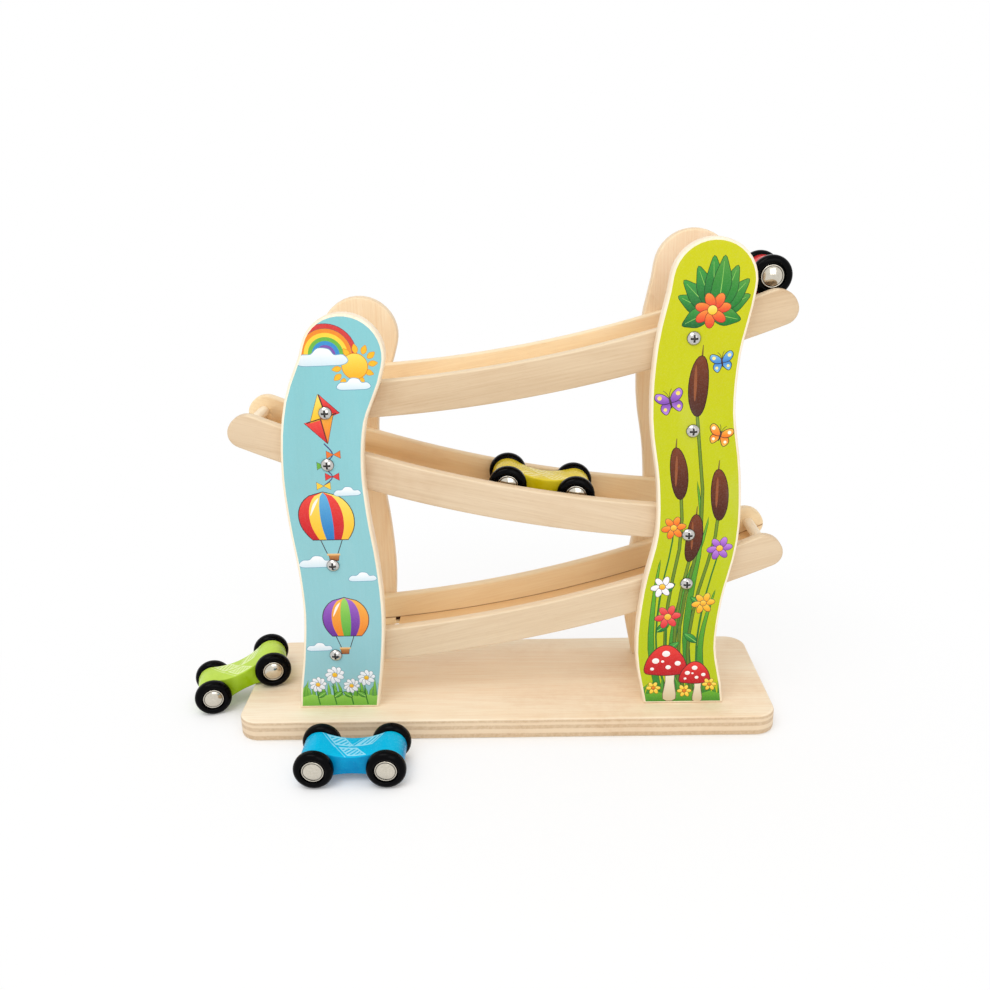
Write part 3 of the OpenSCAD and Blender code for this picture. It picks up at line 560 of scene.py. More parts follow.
def print_on(shape, sheet):
    """Cuts the flat front face along the pictures' lines and gives each bit its printed colour."""
    front = min(corner.co.y for corner in shape.verts)
    flat = {f for f in shape.faces if f.normal.y < -0.999 and abs(f.verts[0].co.y - front) < 1e-6}
    rim = [e for e in shape.edges if sum(f in flat for f in e.link_faces) == 1]
    rim_corners = list(dict.fromkeys(corner for edge in rim for corner in edge.verts))
    number = {corner: k for k, corner in enumerate(rim_corners)}
    points = [(c.co.x * 1000, c.co.z * 1000) for c in rim_corners]
    lines = [tuple(number[c] for c in edge.verts) for edge in rim]
    rim_spots = np.array(points)
    starts, ends = rim_spots[np.array(lines).T]
    lowest, highest = rim_spots.min(0), rim_spots.max(0)

    def middle_line(z):
        """X of the board's middle at a height."""
        z = min(max(z, lowest[1] + 0.2), highest[1] - 14)
        cut = ((starts[:, 1] <= z) != (ends[:, 1] <= z)).nonzero()[0]
        (ax, az), (bx, bz) = starts[cut].T, ends[cut].T
        across = ax + (z - az) / (bz - az) * (bx - ax)
        return (across.min() + across.max()) / 2

    # Loose points all over the face keep the triangles small
    spread, step = [], 3.3
    for x in np.arange(lowest[0] + step / 2 + 0.05, highest[0], step):
        spread += [(x, z) for z in np.arange(lowest[1] + step / 2 + 0.05, highest[1], step)]
    points += [spot for spot, keep in zip(spread, inside(np.array(spread), starts, ends)) if keep]
    drawn = []
    for outline, low, high in sheet.shapes:
        bottom, top = min(z for x, z in outline), max(z for x, z in outline)
        tall = top - bottom > 25
        outline = [(x + middle_line(z if tall else (bottom + top) / 2), z) for x, z in outline]
        first = len(points)
        points += outline
        lines += [(first + k, first + (k + 1) % len(outline)) for k in range(len(outline))]
        drawn.append((np.array(outline), low, high))
    cut = delaunay_2d_cdt([Vector(p) for p in points], lines, [], 0, 1e-5)
    spots, edges, triangles, old_spots, old_edges, _ = cut

    def on_face(k):
        return Vector((spots[k].x / 1000, front, spots[k].y / 1000))

    corner_of = {}
    for k, olds in enumerate(old_spots):
        corner_of.update((k, rim_corners[old]) for old in olds if old < len(rim_corners))
    splits = {}
    for pair, olds in zip(edges, old_edges):
        for old in olds:
            if old < len(rim):
                splits.setdefault(old, set()).update(k for k in pair if k not in corner_of)
    for old, extra in splits.items():
        edge = rim[old]
        start, end = edge.verts
        begin = start.co.copy()
        for k in sorted(extra, key=lambda k: (on_face(k) - begin).length):
            share = (on_face(k) - start.co).length / edge.calc_length()
            _, start = bmesh.utils.edge_split(edge, start, min(max(share, 1e-4), 1 - 1e-4))
            start.co = on_face(k)
            corner_of[k] = start
            edge = next(e for e in start.link_edges if end in e.verts)

    bmesh.ops.delete(shape, geom=list(flat), context="FACES_ONLY")
    tint = shape.loops.layers.float_color.new("print_colour")
    all_spots = np.array([tuple(spot) for spot in spots])
    triangles = np.array(triangles)
    centres = all_spots[triangles].mean(1)
    on_top = np.full(len(centres), -1)
    for k, (outline, low, high) in enumerate(drawn):
        near = (centres > outline.min(0)) & (centres < outline.max(0))
        near = near.all(1).nonzero()[0]
        on_top[near[inside(centres[near], outline, np.roll(outline, -1, 0))]] = k
    on_board = inside(centres, starts, ends)
    for triangle, k in zip(triangles[on_board], on_top[on_board]):
        for spot in triangle:
            if spot not in corner_of:
                corner_of[spot] = shape.verts.new(on_face(spot))
        outline, low, high = (rim_spots, *sheet.field) if k < 0 else drawn[k]
        bottom, height = outline[:, 1].min(), max(np.ptp(outline[:, 1]), 1e-6)
        try:
            made = shape.faces.new([corner_of[spot] for spot in triangle])
        except ValueError:
            continue
        made.material_index = 1
        made.smooth = False
        for loop, spot in zip(made.loops, triangle):
            share = min(max((all_spots[spot, 1] - bottom) / height, 0), 1)
            loop[tint] = colour(low, high, share)
    loose = [edge for edge in shape.edges if not edge.link_faces]
    bmesh.ops.delete(shape, geom=loose, context="EDGES")
    shape.normal_update()


# The print lies under a clear gloss coat, thin enough for the grain to press through
print_finish, coordinates = new_finish("gloss print on plywood", Specular_IOR_Level=0.2)
place = coordinates["Object"]
along = placed(place, turn=grain_up)
tones = {"Pale": (1, 1, 1, 1), "Tan": (0.86, 0.83, 0.78, 1)}
grain = use_group(wood_grain, Grain_Place=along, Figure=0.08, **tones)
attribute = add_node("ShaderNodeAttribute", tree=place.id_data, attribute_name="print_colour")
ink = attribute["Color"]
dots = noise(place, 1800, 2.0)
washes = noise(place, (45, 45, 16), 3.0, 0.55)
inked = mixed(0.35, ink, grain["Colour"], "MULTIPLY")
inked = mixed(rise(washes, 0.4, 0.75, 0.0, 0.3), inked, 0xFFF0EC, "MULTIPLY")
inked = mixed(rise(washes, 0.25, 0.45, 0.03, 0.0), inked, 0xFFFFFF)
inked = mixed(rise(dots, 0.35, 0.8, 0.0, 0.03), inked, 0xFFFFFF)
smudged = use_group(handling, Place=place)["Mask"]
gloss = plus(grain["Gloss Change"], scaled(smudged, 0.05, 0.28))
lay_on(inked, gloss, grain["Height"], 0.00005, 0.25)

# The short board: a summer sky with balloons, a kite and a rainbow over a daisy meadow
sky = PrintSheet(0x96C7CD, 0x86C9CF)
for outer, tone in (
    (15.5, 0xD63E3C),
    (13.2, 0xF08E2C),
    (11.1, 0xF8D642),
    (9.0, 0x6EB848),
    (7.0, 0x3C90D0),
    (5.0, 0x8056AE),
):
    arch = [(cos(a), sin(a)) for a in np.linspace(0, pi, 22)]
    bow = put(arch, -8, 214, outer) + put(arch[::-1], -8, 214, outer - 2.1)
    sky.lay(bow, tone, line=0x78465A if outer == 15.5 else None, width=0.3)
for angle in range(8, 368, 30):
    [ray] = put([(6.6, 0)], 8, 208, turn=angle)
    sky.lay(leaf(*ray, 4.6, 2.6, angle), 0xFCBC28, line=0xD6821E, width=0.25)
sky.lay(oval(8, 208, 6.4), 0xFAB024, 0xFFE25C, 0xD6821E, 0.35)
sky.cloud(-10, 211.5, 13)
sky.cloud(10, 198, 8.5)
tail = [(2, 168), (6, 162), (1, 156), (5, 150), (0, 145)]
sky.lay(brush_line(tail, 0.7, 0.5), 0x463C78)
for (x, z), tone in zip(tail[1:], (0xEE7828, 0x6EB23C, 0xDC3C38, 0xF8CE3C)):
    for side in (-3.6, 3.6):
        sky.lay(put([(0, 0), (side, 2.0), (side, -2.0)], x, z), tone, line=0x3C283C, width=0.3)
kite = [(-4, 194), (6, 184), (2, 168), (-9, 179)]
heart = (-0.6, 181.5)
red_wing = (0xCE1E28, 0xF45448)
orange_wing = (0xEC781E, 0xFCB43C)
yellow_wing = (0xFAC428, 0xFEE26E)
for k, tones in enumerate((red_wing, orange_wing, red_wing, yellow_wing)):
    sky.lay([kite[k], kite[(k + 1) % 4], heart], *tones, 0x5A1E28, 0.35)
for corner in kite:
    sky.lay(brush_line([corner, heart], 0.6, steps=2), 0x5A2828)
red_stripe = (0xC41622, 0xF04C40)
yellow_stripe = (0xF6BE28, 0xFFE46E)
blue_stripe = (0x2878BE, 0x68B6E2)
sky.sky_balloon(-1, 127, 14.5, red_stripe, yellow_stripe, blue_stripe)
sky.cloud(-11, 101, 9.5)
sky.cloud(12, 141, 7)
sky.cloud(12.5, 92, 7.5)
purple_stripe = (0x682C94, 0xA86CCE)
orange_stripe = (0xF0821E, 0xFCBA50)
green_stripe = (0x5AAA3C, 0xA0D860)
sky.sky_balloon(1, 68, 12.5, purple_stripe, orange_stripe, green_stripe)
sky.cloud(-13.5, 50, 7)
sky.meadow(20, 0x56A028, 0x96D054, 22, 7)
yolk = (0xF0AA1E, 0xFED646)
for x, z, size, turn in ((-13, 27, 4.6, 8), (-4, 33, 5.2, 20), (6, 26, 4.4, 0), (14, 31, 4.8, 12)):
    sky.lay(brush_line([(x + 1.2, 14), (x + 0.2, 21), (x, z)], 0.8, 0.6, 3), 0x3C8228)
    slope = 35 if x < 0 else 145
    sky.leafy(x + 0.6, 19, 5.5, 2.6, slope, 0x469632, 0x78BE46, 0xAADC6E)
    sky.flower(x, z, size, 9, 0xE2E8F0, 0xFFFFFF, yolk, 0x788C96, turn)

# The tall board: bulrushes, toadstools, flowers and butterflies under a fan of large leaves
marsh = PrintSheet(0xB6C606, 0xCCCC02)
leaf_low, leaf_high, leaf_vein = 0x18702E, 0x4AA842, 0x96D060
for x, lean, height, width in ((-13, -4, 88, 3.4), (12, 5, 70, 3.2), (-3, 8, 112, 3.6), (6, -7, 132, 3.4)):
    blade = [(-0.4, 0.0, 0.0), (-0.5, 0.1, 0.3), (-0.3, 0.45, 0.68), (0.0, 1.0, 1.0)]
    blade += [(-u, v, h) for u, v, h in blade[2::-1]]
    blade = [(x + u * width + v * lean, 12 + h * height) for u, v, h in blade]
    marsh.lay(through(blade, steps=4), 0x247A2C, 0x70B828, 0x1A5422, 0.3)
for x, top, size in ((2, 194, 1.1), (-10, 148, 1.0), (10.5, 136, 1.0), (-1.5, 112, 0.95)):
    stem = brush_line([(x * 0.5, 16), (x * 0.7, 0.5 * top), (x, top)], 1.5, 1.1)
    marsh.lay(stem, 0x56781E, 0x789624, 0x324A1A, 0.3)
    spike = brush_line([(x, top + 12 * size), (x + 0.3, top + 19 * size)], 1.1, 0.4, 2)
    marsh.lay(spike, 0x786028)
    head = oval(x, top, 4.3 * size, 14 * size, steps=24)
    marsh.lay(head, 0x461C0E, 0x7A3C1E, 0x2C140C, 0.4)
    marsh.lay(oval(x - 1.4 * size, top + 1.5 * size, 0.7 * size, 8.5 * size, steps=14), 0x96542E)
fan = [(160, 19), (20, 19), (140, 22), (40, 22), (118, 24), (62, 24), (100, 27), (80, 27)]
for k, (angle, length) in enumerate(fan + [(-160, 15), (-20, 15)]):
    tones = (0x12762C, 0x569E3E) if k % 2 else (0x12602C, 0x409E3E)
    marsh.leafy(2, 231, length, 8.8, angle, *tones, leaf_vein, 0.08 if angle < 90 else -0.08)
heart = (0xFAC832, 0xFFE878)
marsh.flower(2, 232, 8.5, 7, 0xE23C28, 0xFA963C, heart, 0x781E1E, 12)
marsh.butterfly(-11.5, 186, 7.0, 0x7E46B0, 0xBE8CDE, 0xF6DE6E, 16)
marsh.butterfly(13, 168, 6.0, 0xF0781E, 0xFCBE46, 0xFFF6DC, -18)
marsh.butterfly(12.5, 206, 5.6, 0x3C82CE, 0x8CC6EC, 0xFFF096, 12)
heart = (0xECA01E, 0xFFDE5A)
for x, z, size, low, high in (
    (-13, 118, 6.2, 0xF06414, 0xFEAA3C),
    (13, 106, 6.4, 0x8C46B8, 0xC88CE2),
    (-12, 84, 6.0, 0xECECF4, 0xFFFFFF),
    (-6, 66, 6.8, 0xDC2832, 0xF46A60),
    (12, 74, 6.0, 0xF6A014, 0xFFD850),
):
    marsh.lay(brush_line([(x * 0.7, 18), (x * 0.9, 0.55 * z), (x, z)], 1.1, 0.8), 0x347628)
    marsh.leafy(x * 0.94, 0.68 * z, 9, 4.0, 38 if x < 0 else 142, leaf_low, leaf_high, leaf_vein)
    marsh.flower(x, z, size, 6, low, high, heart, 0x54283C, 10)
marsh.meadow(19, 0x287428, 0x6EB432, 20, 11)
for x, foot, size in ((-6, 15, 1.0), (9, 14, 0.72)):
    stalk = [(-3.4, 0), (-2.3, 11), (-2.4, 20), (2.4, 20), (2.3, 11), (3.4, 0)]
    stalk = through(put(stalk, x, foot, size), steps=3)
    marsh.lay(stalk, 0xD6C4A0, 0xFAF2DE, 0x6E543C, 0.35)
    cap = [(-11.5, 17), (-10, 25), (-5, 31.5), (0, 33.5), (5, 31.5), (10, 25), (11.5, 17)]
    cap = through(put(cap + [(5.5, 15.4), (0, 15), (-5.5, 15.4)], x, foot, size), steps=4)
    marsh.lay(cap, 0xB8121C, 0xEC3E34, 0x5A1016, 0.45)
    flecks = [(-5.6, 24, 2.0), (0.6, 28.4, 2.2), (6.4, 22.4, 1.7), (0.8, 20, 1.5), (-8.2, 19, 1.1)]
    for u, v, r in flecks + [(-1.8, 23.6, 0.9)]:
        fleck = oval(x + u * size, foot + v * size, r * size, 0.86 * r * size, steps=14)
        marsh.lay(fleck, 0xF0E8E2, 0xFFFFFF)
heart = (0xD26E1E, 0xF09628)
for x, z in ((-15.5, 22), (1.5, 20), (16, 24)):
    marsh.flower(x, z, 3.8, 6, 0xFAC428, 0xFFE86E, heart, 0x825A14)

for board, sheet in (("short", sky), ("tall", marsh)):
    node, slot = f"front_{board}_upright", f"{board}_upright_print"
    finishes = (lit_edge_finish, print_finish)
    fit_sawn(node, f"{node}_board", board_easing, "track", slot, *finishes, sheet=sheet)


# Screws
# Zinc plated steel screws with a round cross head, four through each upright into the rails and
# the spacer, and eight flat ones up through the base board. The cross recess is darkened as painted shade.
def plated_finish(name, dull, bright, low_gloss, high_gloss):
    """Plated steel, darkened as painted shade where an attribute of the piece marks it."""
    material, coordinates = new_finish(name, Metallic=1.0)
    polish = noise(coordinates["Object"], (900, 300, 900))
    # Painted shade: the marked ring is darkened nearly to black, and dulled
    painted_shade = add_node("ShaderNodeAttribute", tree=polish.id_data, attribute_name="painted_shade")["Fac"]
    painted_shade = times(painted_shade, 0.9)
    plate = mixed(painted_shade, mixed(polish, dull, bright), 0x1A1614)
    gloss = scaled(painted_shade, 0.3, rise(polish, 0.2, 0.8, low_gloss, high_gloss))
    lay_on(plate, gloss, polish, 0.00002, 0.12)
    return material


screw_finish = plated_finish("bright zinc plate", 0xACAAA6, 0xE0DEDA, 0.14, 0.26)
nodes["base_screws"].data.materials[0] = screw_finish
# Painted shade in the cross recess: a dark, mottled grey metal
recess_shade_finish, coordinates = new_finish("screw recess painted shade", Metallic=0.6)
shade_mottle = noise(coordinates["Object"], 2500)
lay_on(mixed(shade_mottle, 0x2C2A29, 0x686461), rise(shade_mottle, 0.2, 0.8, 0.4, 0.6))


def spot_at(tree, x=0.0, y=0.0, z=0.0):
    return add_node("ShaderNodeCombineXYZ", x, y, z, tree=tree)[0]


def worked(kind, *values, **named):
    """The first output of a Geometry Nodes node of this kind."""
    return add_node(f"GeometryNode{kind}", *values, **named)[0]


def moved(geometry, x=0.0, y=0.0, z=0.0):
    by = spot_at(geometry.id_data, x, y, z)
    return worked("Transform", Geometry=geometry, Translation=by)


def straights(tree, *corners):
    """The straight stretches of a turned profile, between pairs of radius and height."""
    spots = [spot_at(tree, *corner) for corner in corners]
    return [worked("CurvePrimitiveLine", Start=a, End=b) for a, b in zip(spots, spots[1:])]


def round_arc(middle, radius, start, sweep, steps):
    """A round stretch of a turned profile."""
    angles = {"Start_Angle": start, "Sweep_Angle": sweep}
    return moved(worked("CurveArc", Resolution=steps, Radius=radius, **angles), *middle)


def low_dome(half, swell, top):
    """The arc of a dome, from its rim, at this half width, to its top on the axis."""
    ball = scaled(half, half, times(swell, swell))
    ball = over(ball, times(swell, 2.0))
    angle = sums("ARCSINE", over(half, ball))
    middle = (0.0, minus(top, ball))
    return round_arc(middle, ball, minus(pi / 2, angle), angle, 16)


def turned_piece(*stretches):
    """Turns the stretches of a profile, in radius and height, round the Z axis to a closed form."""
    tree = stretches[0].id_data
    profile = tree.nodes.new("GeometryNodeJoinGeometry")
    for stretch in reversed(stretches):
        feed(profile.inputs[0], stretch)
    profile = moved(profile.outputs[0], -0.01)
    lathe = worked("CurvePrimitiveCircle", tree=tree, Resolution=48, Radius=0.01)
    form = worked("CurveToMesh", Curve=lathe, Profile_Curve=profile)
    form = worked("MergeByDistance", Geometry=form, Distance=0.000003)
    return worked("Transform", Geometry=form, Rotation=(pi, 0, 0))


def painted_shade_ring(piece, radius, inner, outer):
    """Marks a ring of the piece for painted shade, between two shares of its radius."""
    spot = worked("InputPosition", tree=piece.id_data)
    flat = add_node("ShaderNodeVectorMath", spot, (1, 1, 0), operation="MULTIPLY")[0]
    reach = add_node("ShaderNodeVectorMath", flat, operation="LENGTH")["Value"]
    share = over(reach, radius)
    ring = times(rise(share, inner - 0.05, inner), fall(share, outer, outer + 0.04))
    return worked("StoreNamedAttribute", Geometry=piece, Name="painted_shade", Value=ring)


def with_finish(geometry, material, **only):
    return worked("SetMaterial", Geometry=geometry, Material=material, **only)


def set_out(places, piece):
    """Puts a copy of the piece on every place, with its Z axis along the place's outward."""
    named = {"tree": piece.id_data, "data_type": "FLOAT_VECTOR", "Name": "outward"}
    outward = worked("InputNamedAttribute", **named)
    turn = add_node("FunctionNodeAlignRotationToVector", axis="Z", Vector=outward)[0]
    copies = worked("InstanceOnPoints", Points=places, Instance=piece, Rotation=turn)
    return worked("SetShadeSmooth", Geometry=worked("RealizeInstances", Geometry=copies))


def new_maker(name, sizes):
    """A Geometry Nodes group that is given places, and these named lengths and materials."""
    kinds = {label: "Float" if isinstance(size, float) else "Material" for label, size in sizes.items()}
    return new_group(name, {"Places": "Geometry", **kinds}, {"Made": "Geometry"}, "GeometryNodeTree")


def made_by(tree, name, places, sizes):
    """The plain mesh that a tree makes for its pairs of place and outward, and its named sizes."""
    spots = bpy.data.meshes.new(f"{name}_places")
    spots.from_pydata([place for place, outward in places], [], [])
    directions = spots.attributes.new("outward", "FLOAT_VECTOR", "POINT")
    directions.data.foreach_set("vector", [value for place, outward in places for value in outward])
    holder = new_object(f"{name}_places", spots)
    maker = holder.modifiers.new(tree.name, "NODES")
    maker.node_group = tree
    for item in tree.interface.items_tree:
        if item.in_out == "INPUT" and item.name in sizes:
            maker[item.identifier] = sizes[item.name]
    ready = holder.evaluated_get(bpy.context.evaluated_depsgraph_get())
    mesh = bpy.data.meshes.new_from_object(ready)
    mesh.name = name
    holder.modifiers.clear()
    bpy.data.objects.remove(holder)
    bpy.data.meshes.remove(spots)
    while mesh.materials[0] is None:
        mesh.materials.pop(index=0)
    return mesh


# A screw is turned from its shank's end up to its round head, and the cross is cut in its top.
# The shanks get their length below, from each board's own screws.
screw_sizes = {
    "Head Radius": 0.0034,
    "Head Height": 0.0022,
    "Shank Radius": 0.0015,
    "Shank Length": 0.0,
    "Cross Reach": 0.0038,
    "Cross Width": 0.00104,
    "Cross Depth": 0.00121,
    "Plate": screw_finish,
    "Recess Shade": recess_shade_finish,
}
screw_tree, given = new_maker("cross head screws", screw_sizes)
wide, high, thin, long, arm, slit, deep, plate, recess = (given[label] for label in screw_sizes)
tip = times(long, -1.0)
rim = times(high, 0.25)
screw = turned_piece(
    *straights(screw_tree, (0.0, tip), (thin, tip), (thin, 0.0), (wide, 0.0), (wide, rim)),
    low_dome(wide, minus(high, rim), high),
)
cross = screw_tree.nodes.new("GeometryNodeMeshBoolean")
cross.operation = "UNION"
cross.solver = "EXACT"
for size in ((slit, arm), (arm, slit)):
    size = spot_at(screw_tree, *size, times(deep, 2.0))
    feed(cross.inputs["Mesh 2"], moved(worked("MeshCube", Size=size), z=high))
knife = {"Mesh_1": with_finish(screw, plate), "Mesh_2": with_finish(cross.outputs[0], recess)}
screw = worked("MeshBoolean", operation="DIFFERENCE", solver="EXACT", **knife)
# The ring round the head's rim is a painted contact shadow
screws = set_out(given["Places"], painted_shade_ring(screw, wide, 0.98, 1.1))
in_recess = worked("MaterialSelection", Material=recess)
screws = with_finish(screws, plate, Selection=minus(1.0, in_recess))
add_node("NodeGroupOutput", Made=screws)

screw_spots = {
    "short": ((-0.0883, 0.184176), (-0.0894, 0.156452), (-0.091, 0.099801), (-0.0938, 0.04556)),
    "tall": ((0.0975, 0.218329), (0.099, 0.170897), (0.099, 0.114052), (0.0991, 0.085789)),
}
board_face = 0.033
for side, outward in (("front", -1), ("rear", 1)):
    for board, spots in screw_spots.items():
        node = f"{side}_{board}_upright_screws"
        low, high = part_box(node)
        screw_sizes["Shank Length"] = high[1] - low[1] - screw_sizes["Head Height"]
        places = [((x, outward * board_face, z), (0, outward, 0)) for x, z in spots]
        screws = made_by(screw_tree, f"{side}_{board}_plated_screws", places, screw_sizes)
        fit_piece(screws, "track", node)


# Car bodies
# Little blocks of hardwood sawn to a hollow top and underside, rounded over at the edges and
# dipped in gloss lacquer. A pale pattern of slanting bars is printed on the hollow of each top.
bar_pattern, given = new_group(
    "slanting bars", {"Car Place": "Vector", "Top Facing": "Float"}, {"Mask": "Float"}
)
ahead, sideways, _ = apart(given["Car Place"])
slant = scaled(sideways, -0.8, ahead)
bars = rise(sums("PINGPONG", slant, 0.0014), 0.0006, 0.0008)
patches = []
# Middle and lean of each panel, in metres; its dark bars all slant one way
for x, y, lean in ((0.0072, -0.0044, -0.8), (-0.0082, -0.0044, 0.8), (-0.0004, 0.0044, -0.8)):
    across = minus(sideways, y)
    along = scaled(across, -lean, minus(ahead, x))
    far, wide = sums("ABSOLUTE", along), sums("ABSOLUTE", across)
    panel = times(fall(far, 0.0048, 0.005), fall(wide, 0.0036, 0.0038))
    inner = times(fall(far, 0.004, 0.0042), fall(wide, 0.0026, 0.0028))
    frame_line = times(panel, scaled(inner, -0.95, 1.0))
    from_stripe = sums("ABSOLUTE", minus(along, 0.0066))
    stripe = times(rise(from_stripe, 0.0002, 0.0003, 0.8, 0.0), fall(wide, 0.0054, 0.006))
    patches += [frame_line, times(inner, bars), stripe]
worn = rise(noise(given["Car Place"], 700, 3.0, 0.6), 0.25, 0.5, 0.55)
on_top = rise(given["Top Facing"], 0.5, 0.8)
add_node("NodeGroupOutput", Mask=times(highest(*patches), worn, on_top))


def car_axes(car):
    """The car's middle, and its forward, left and up directions, from its four wheels."""
    wheels = [
        sum(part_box(f"{car}_car_{corner}_wheel"), Vector()) / 2
        for corner in ("front_left", "front_right", "rear_left", "rear_right")
    ]
    front_left, front_right, rear_left, rear_right = wheels
    forward = (front_left + front_right - rear_left - rear_right).normalized()
    left = (front_left - front_right).normalized()
    return sum(wheels, Vector()) / 4, forward, left, forward.cross(left)


body_easing = 0.0009
# Each car: its side tone, its top tone, lighter as painted light from above, and its pale print
car_paints = {
    "red": (0xC40C14, 0xE02C2C, 0xFABEB4),
    "yellow": (0xCEB800, 0xF2E246, 0xFCF6B4),
    "blue": (0x0086BE, 0x00C6F0, 0xAAE8FA),
    "green": (0x92B60C, 0xCAE860, 0xEEFAC4),
}
for car, (deep, top_lit_tone, pale) in car_paints.items():
    middle, forward, left, up = car_axes(car)
    # Turning the piece's own coordinates into the car's: forward, left and up from its middle
    turned = Matrix((forward, left, up))
    coat = {"Coat_Roughness": 0.05, "Coat_Weight": 0.05}
    lacquer, coordinates = new_finish(f"{car} gloss lacquer", Specular_IOR_Level=0.08, **coat)
    place = placed(coordinates["Object"], turn=turned.to_euler(), shift=-(turned @ middle))
    normal = coordinates["Normal"]
    facing = add_node("ShaderNodeVectorMath", normal, up, operation="DOT_PRODUCT")["Value"]
    clouding = rise(noise(place, 120), 0.3, 0.75, 0.0, 0.3)
    paint = mixed(clouding, deep, top_lit_tone)
    # Painted light: faces turned upwards are mixed towards the lighter top tone
    paint = mixed(rise(facing, 0.2, 0.9, 0.0, 0.75), paint, top_lit_tone)
    bars = use_group(bar_pattern, Car_Place=place, Top_Facing=facing)["Mask"]
    paint = mixed(times(bars, 0.78), paint, pale)
    orange_peel = noise(place, 900, 2.0)
    smudged = use_group(handling, Place=place)["Mask"]
    gloss = scaled(smudged, 0.12, rise(orange_peel, 0.2, 0.8, 0.2, 0.3))
    lay_on(paint, gloss, orange_peel, 0.00003, 0.25)
    body = f"{car}_car"
    fit_sawn(f"{body}_body", f"{body}_block", body_easing, body, f"{body}_lacquer", lacquer)


# Axle rods and wheels
# Bright steel wire runs through each body, and black gloss wheels turned from hard plastic run
# on its ends.
rod_finish, coordinates = new_finish("drawn steel wire", Metallic=1.0)
drawn_lines = noise(coordinates["Object"], (1500, 80, 1500))
wire = mixed(drawn_lines, 0xBEBEC0, 0xE2E2E4)
lay_on(wire, rise(drawn_lines, 0.2, 0.8, 0.22, 0.4))

tyre_finish, coordinates = new_finish("black gloss plastic", Specular_IOR_Level=0.06)
scuffs = noise(coordinates["Object"], 400, 4.0, 0.65)
gloss = rise(scuffs, 0.3, 0.8, 0.12, 0.22)
lay_on(mixed(scuffs, 0x000001, 0x060608), gloss, scuffs, 0.00002, 0.1)
for name, node in nodes.items():
    if name.endswith("_axle_rod"):
        node.data.materials[0] = rod_finish
    elif name.endswith("_wheel"):
        node.data.materials[0] = tyre_finish


# Hub caps
# Thin steel caps pressed over the ends of the rods and chrome plated. Each has a rolled bead
# round its rim, a narrow groove inside it and a low dome.
cap_finish = plated_finish("chrome plate", 0xC2BBAC, 0xDED8CB, 0.08, 0.18)
cap_sizes = {
    "Cap Radius": 0.00588,
    "Cap Height": 0.0019,
    "Bead Radius": 0.0004,
    "Dome Radius": 0.005,
    "Dome Height": 0.00122,
    "Chrome": cap_finish,
}
cap_tree, given = new_maker("pressed hub caps", cap_sizes)
wide, high, bead, dome, swell, chrome = (given[label] for label in cap_sizes)
bead_middle = minus(wide, bead)
bead_turn = radians(230)
bead_end = (scaled(bead, sin(bead_turn), bead_middle), times(bead, 1 - cos(bead_turn)))
cap = turned_piece(
    *straights(cap_tree, (0.0, 0.0), (bead_middle, 0.0)),
    round_arc((bead_middle, bead), bead, -pi / 2, bead_turn, 14),
    *straights(cap_tree, bead_end, (dome, minus(high, swell))),
    low_dome(dome, swell, high),
)
# The ring in the groove between dome and bead is painted shade
caps = set_out(given["Places"], painted_shade_ring(cap, wide, 0.85, 0.875))
add_node("NodeGroupOutput", Made=with_finish(caps, chrome))

axle_reach, cap_reach = 0.0188, 0.0144
for car in car_paints:
    middle, forward, left, up = car_axes(car)
    for end, along in (("front", axle_reach), ("rear", -axle_reach)):
        axle = middle + forward * along
        places = [(axle + outward * cap_reach, outward) for outward in (left, -left)]
        caps = made_by(cap_tree, f"{car}_{end}_pressed_caps", places, cap_sizes)
        body = "red_car_front_axle" if (car, end) == ("red", "front") else f"{car}_car"
        fit_piece(caps, body, f"{car}_car_{end}_hub_caps")


# Table, light and camera
# A white table top keeps the soft shadows of the toy and fades to plain white further out. One
# large soft lamp stands above and to the left of the front, with white light all round.
table_mesh = bpy.data.meshes.new("table_top")
table_corners = [(x, y, -0.00005) for x, y in ((-4, -4), (4, -4), (4, 4), (-4, 4))]
table_mesh.from_pydata(table_corners, [], [(0, 1, 2, 3)])
table = new_object("table_top", table_mesh)
white_table = bpy.data.materials.new("white table")
table_mesh.materials.append(white_table)
white_table.use_nodes = True
tree = white_table.node_tree
tree.nodes.clear()
matt = add_node("ShaderNodeBsdfDiffuse", tree=tree, Color=(0.97, 0.97, 0.97, 1))[0]
glow = add_node("ShaderNodeEmission", tree=tree, Color=(1, 1, 1, 1))[0]
rays = add_node("ShaderNodeLightPath", tree=tree)
seen = highest(rays["Is Camera Ray"], rays["Is Glossy Ray"])
spot = add_node("ShaderNodeTexCoord", tree=tree)["Object"]
distance = add_node("ShaderNodeVectorMath", spot, operation="LENGTH")["Value"]
far_off = rise(distance, 0.17, 0.34, 0.8, 1.0)
near_toy = add_node("ShaderNodeAmbientOcclusion", tree=tree, Distance=0.02)["AO"]
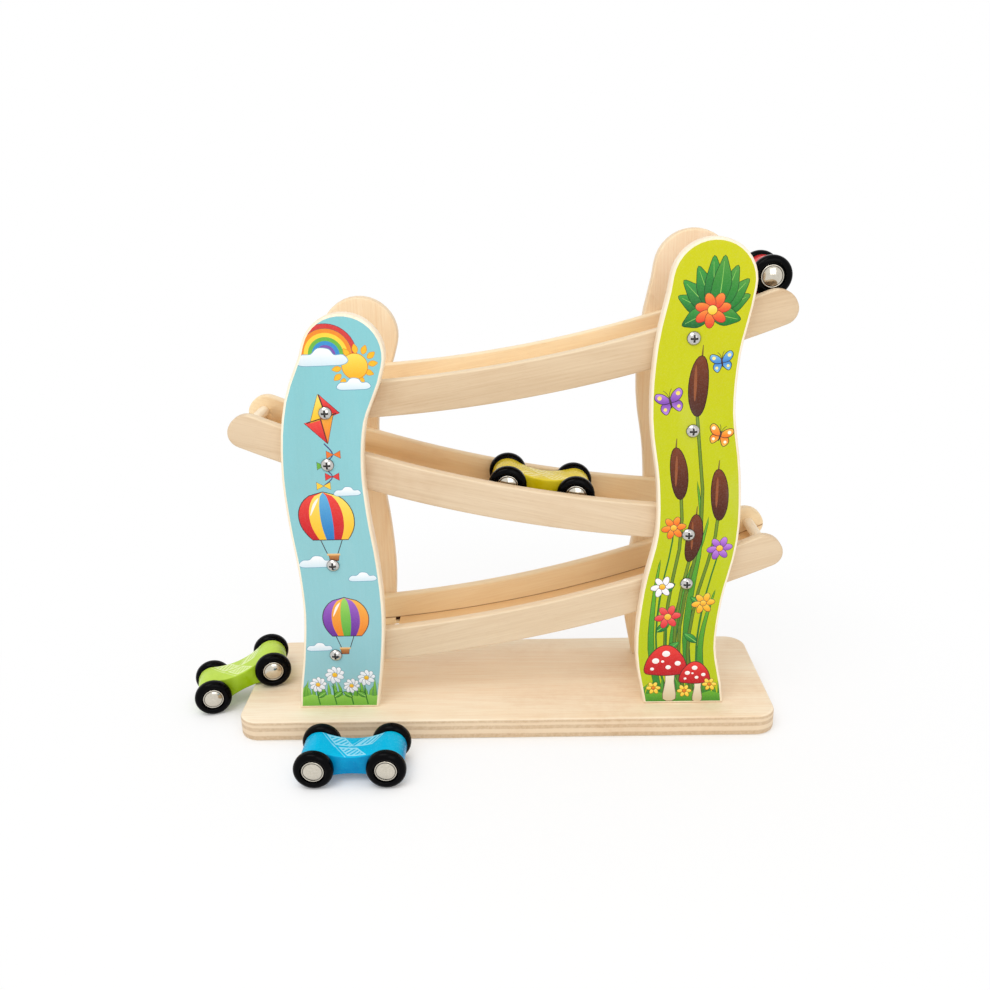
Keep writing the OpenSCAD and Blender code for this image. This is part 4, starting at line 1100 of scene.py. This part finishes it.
white_share = times(far_off, rise(near_toy, 0.35, 0.95, 0.1, 1.0))
mix = add_node("ShaderNodeMixShader", times(seen, white_share), matt, glow)[0]
add_node("ShaderNodeOutputMaterial", mix)

room = bpy.data.worlds.new("white room")
bpy.context.scene.world = room
room.use_nodes = True
tree = room.node_tree
tree.nodes.clear()
rays = add_node("ShaderNodeLightPath", tree=tree)
seen = highest(rays["Is Camera Ray"], rays["Is Glossy Ray"], rays["Is Transmission Ray"])
strength = rise(seen, 0.0, 1.0, 0.79, 1.0)
background = add_node("ShaderNodeBackground", Color=(1, 1, 1, 1), Strength=strength)[0]
add_node("ShaderNodeOutputWorld", background)

toy_middle = Vector((0, 0, 0.12))


def soft_lamp(name, place, size, power):
    """A square lamp that looks at the middle of the toy."""
    lamp = bpy.data.lights.new(name, "AREA")
    lamp.shape = "SQUARE"
    lamp.size = size
    lamp.energy = power
    holder = new_object(name, lamp)
    holder.location = place
    holder.rotation_euler = (Vector(place) - toy_middle).to_track_quat("Z", "Y").to_euler()


soft_lamp("key_lamp", (-0.45, -0.7, 1.4), 0.8, 6.2)
soft_lamp("front_lamp", (0.45, -1.35, 0.75), 0.8, 3.2)

# Where the photograph was taken from, in metres, with its turns in radians and its focal length
# and width in pixels
eye = Vector((0.00963, -0.51161, 0.30529))
yaw, pitch, roll = 0.02590, 0.33561, -0.02679
focal_length, photo_width = 968.857, 990
right = Vector((cos(yaw), sin(yaw), 0))
level = Vector((-sin(yaw), cos(yaw), 0))
upright = Vector((0, 0, 1))
ahead = level * cos(pitch) - upright * sin(pitch)
above = level * sin(pitch) + upright * cos(pitch)
right, above = right * cos(roll) + above * sin(roll), above * cos(roll) - right * sin(roll)
lens = bpy.data.cameras.new("camera")
lens.sensor_width = 36.0
lens.lens = focal_length / photo_width * lens.sensor_width
lens.clip_start = 0.01
camera = new_object("camera", lens)
camera.matrix_world = Matrix((right, above, -ahead)).transposed().to_4x4()
camera.location = eye
bpy.context.scene.camera = camera
bpy.context.scene.view_settings.view_transform = "Standard"
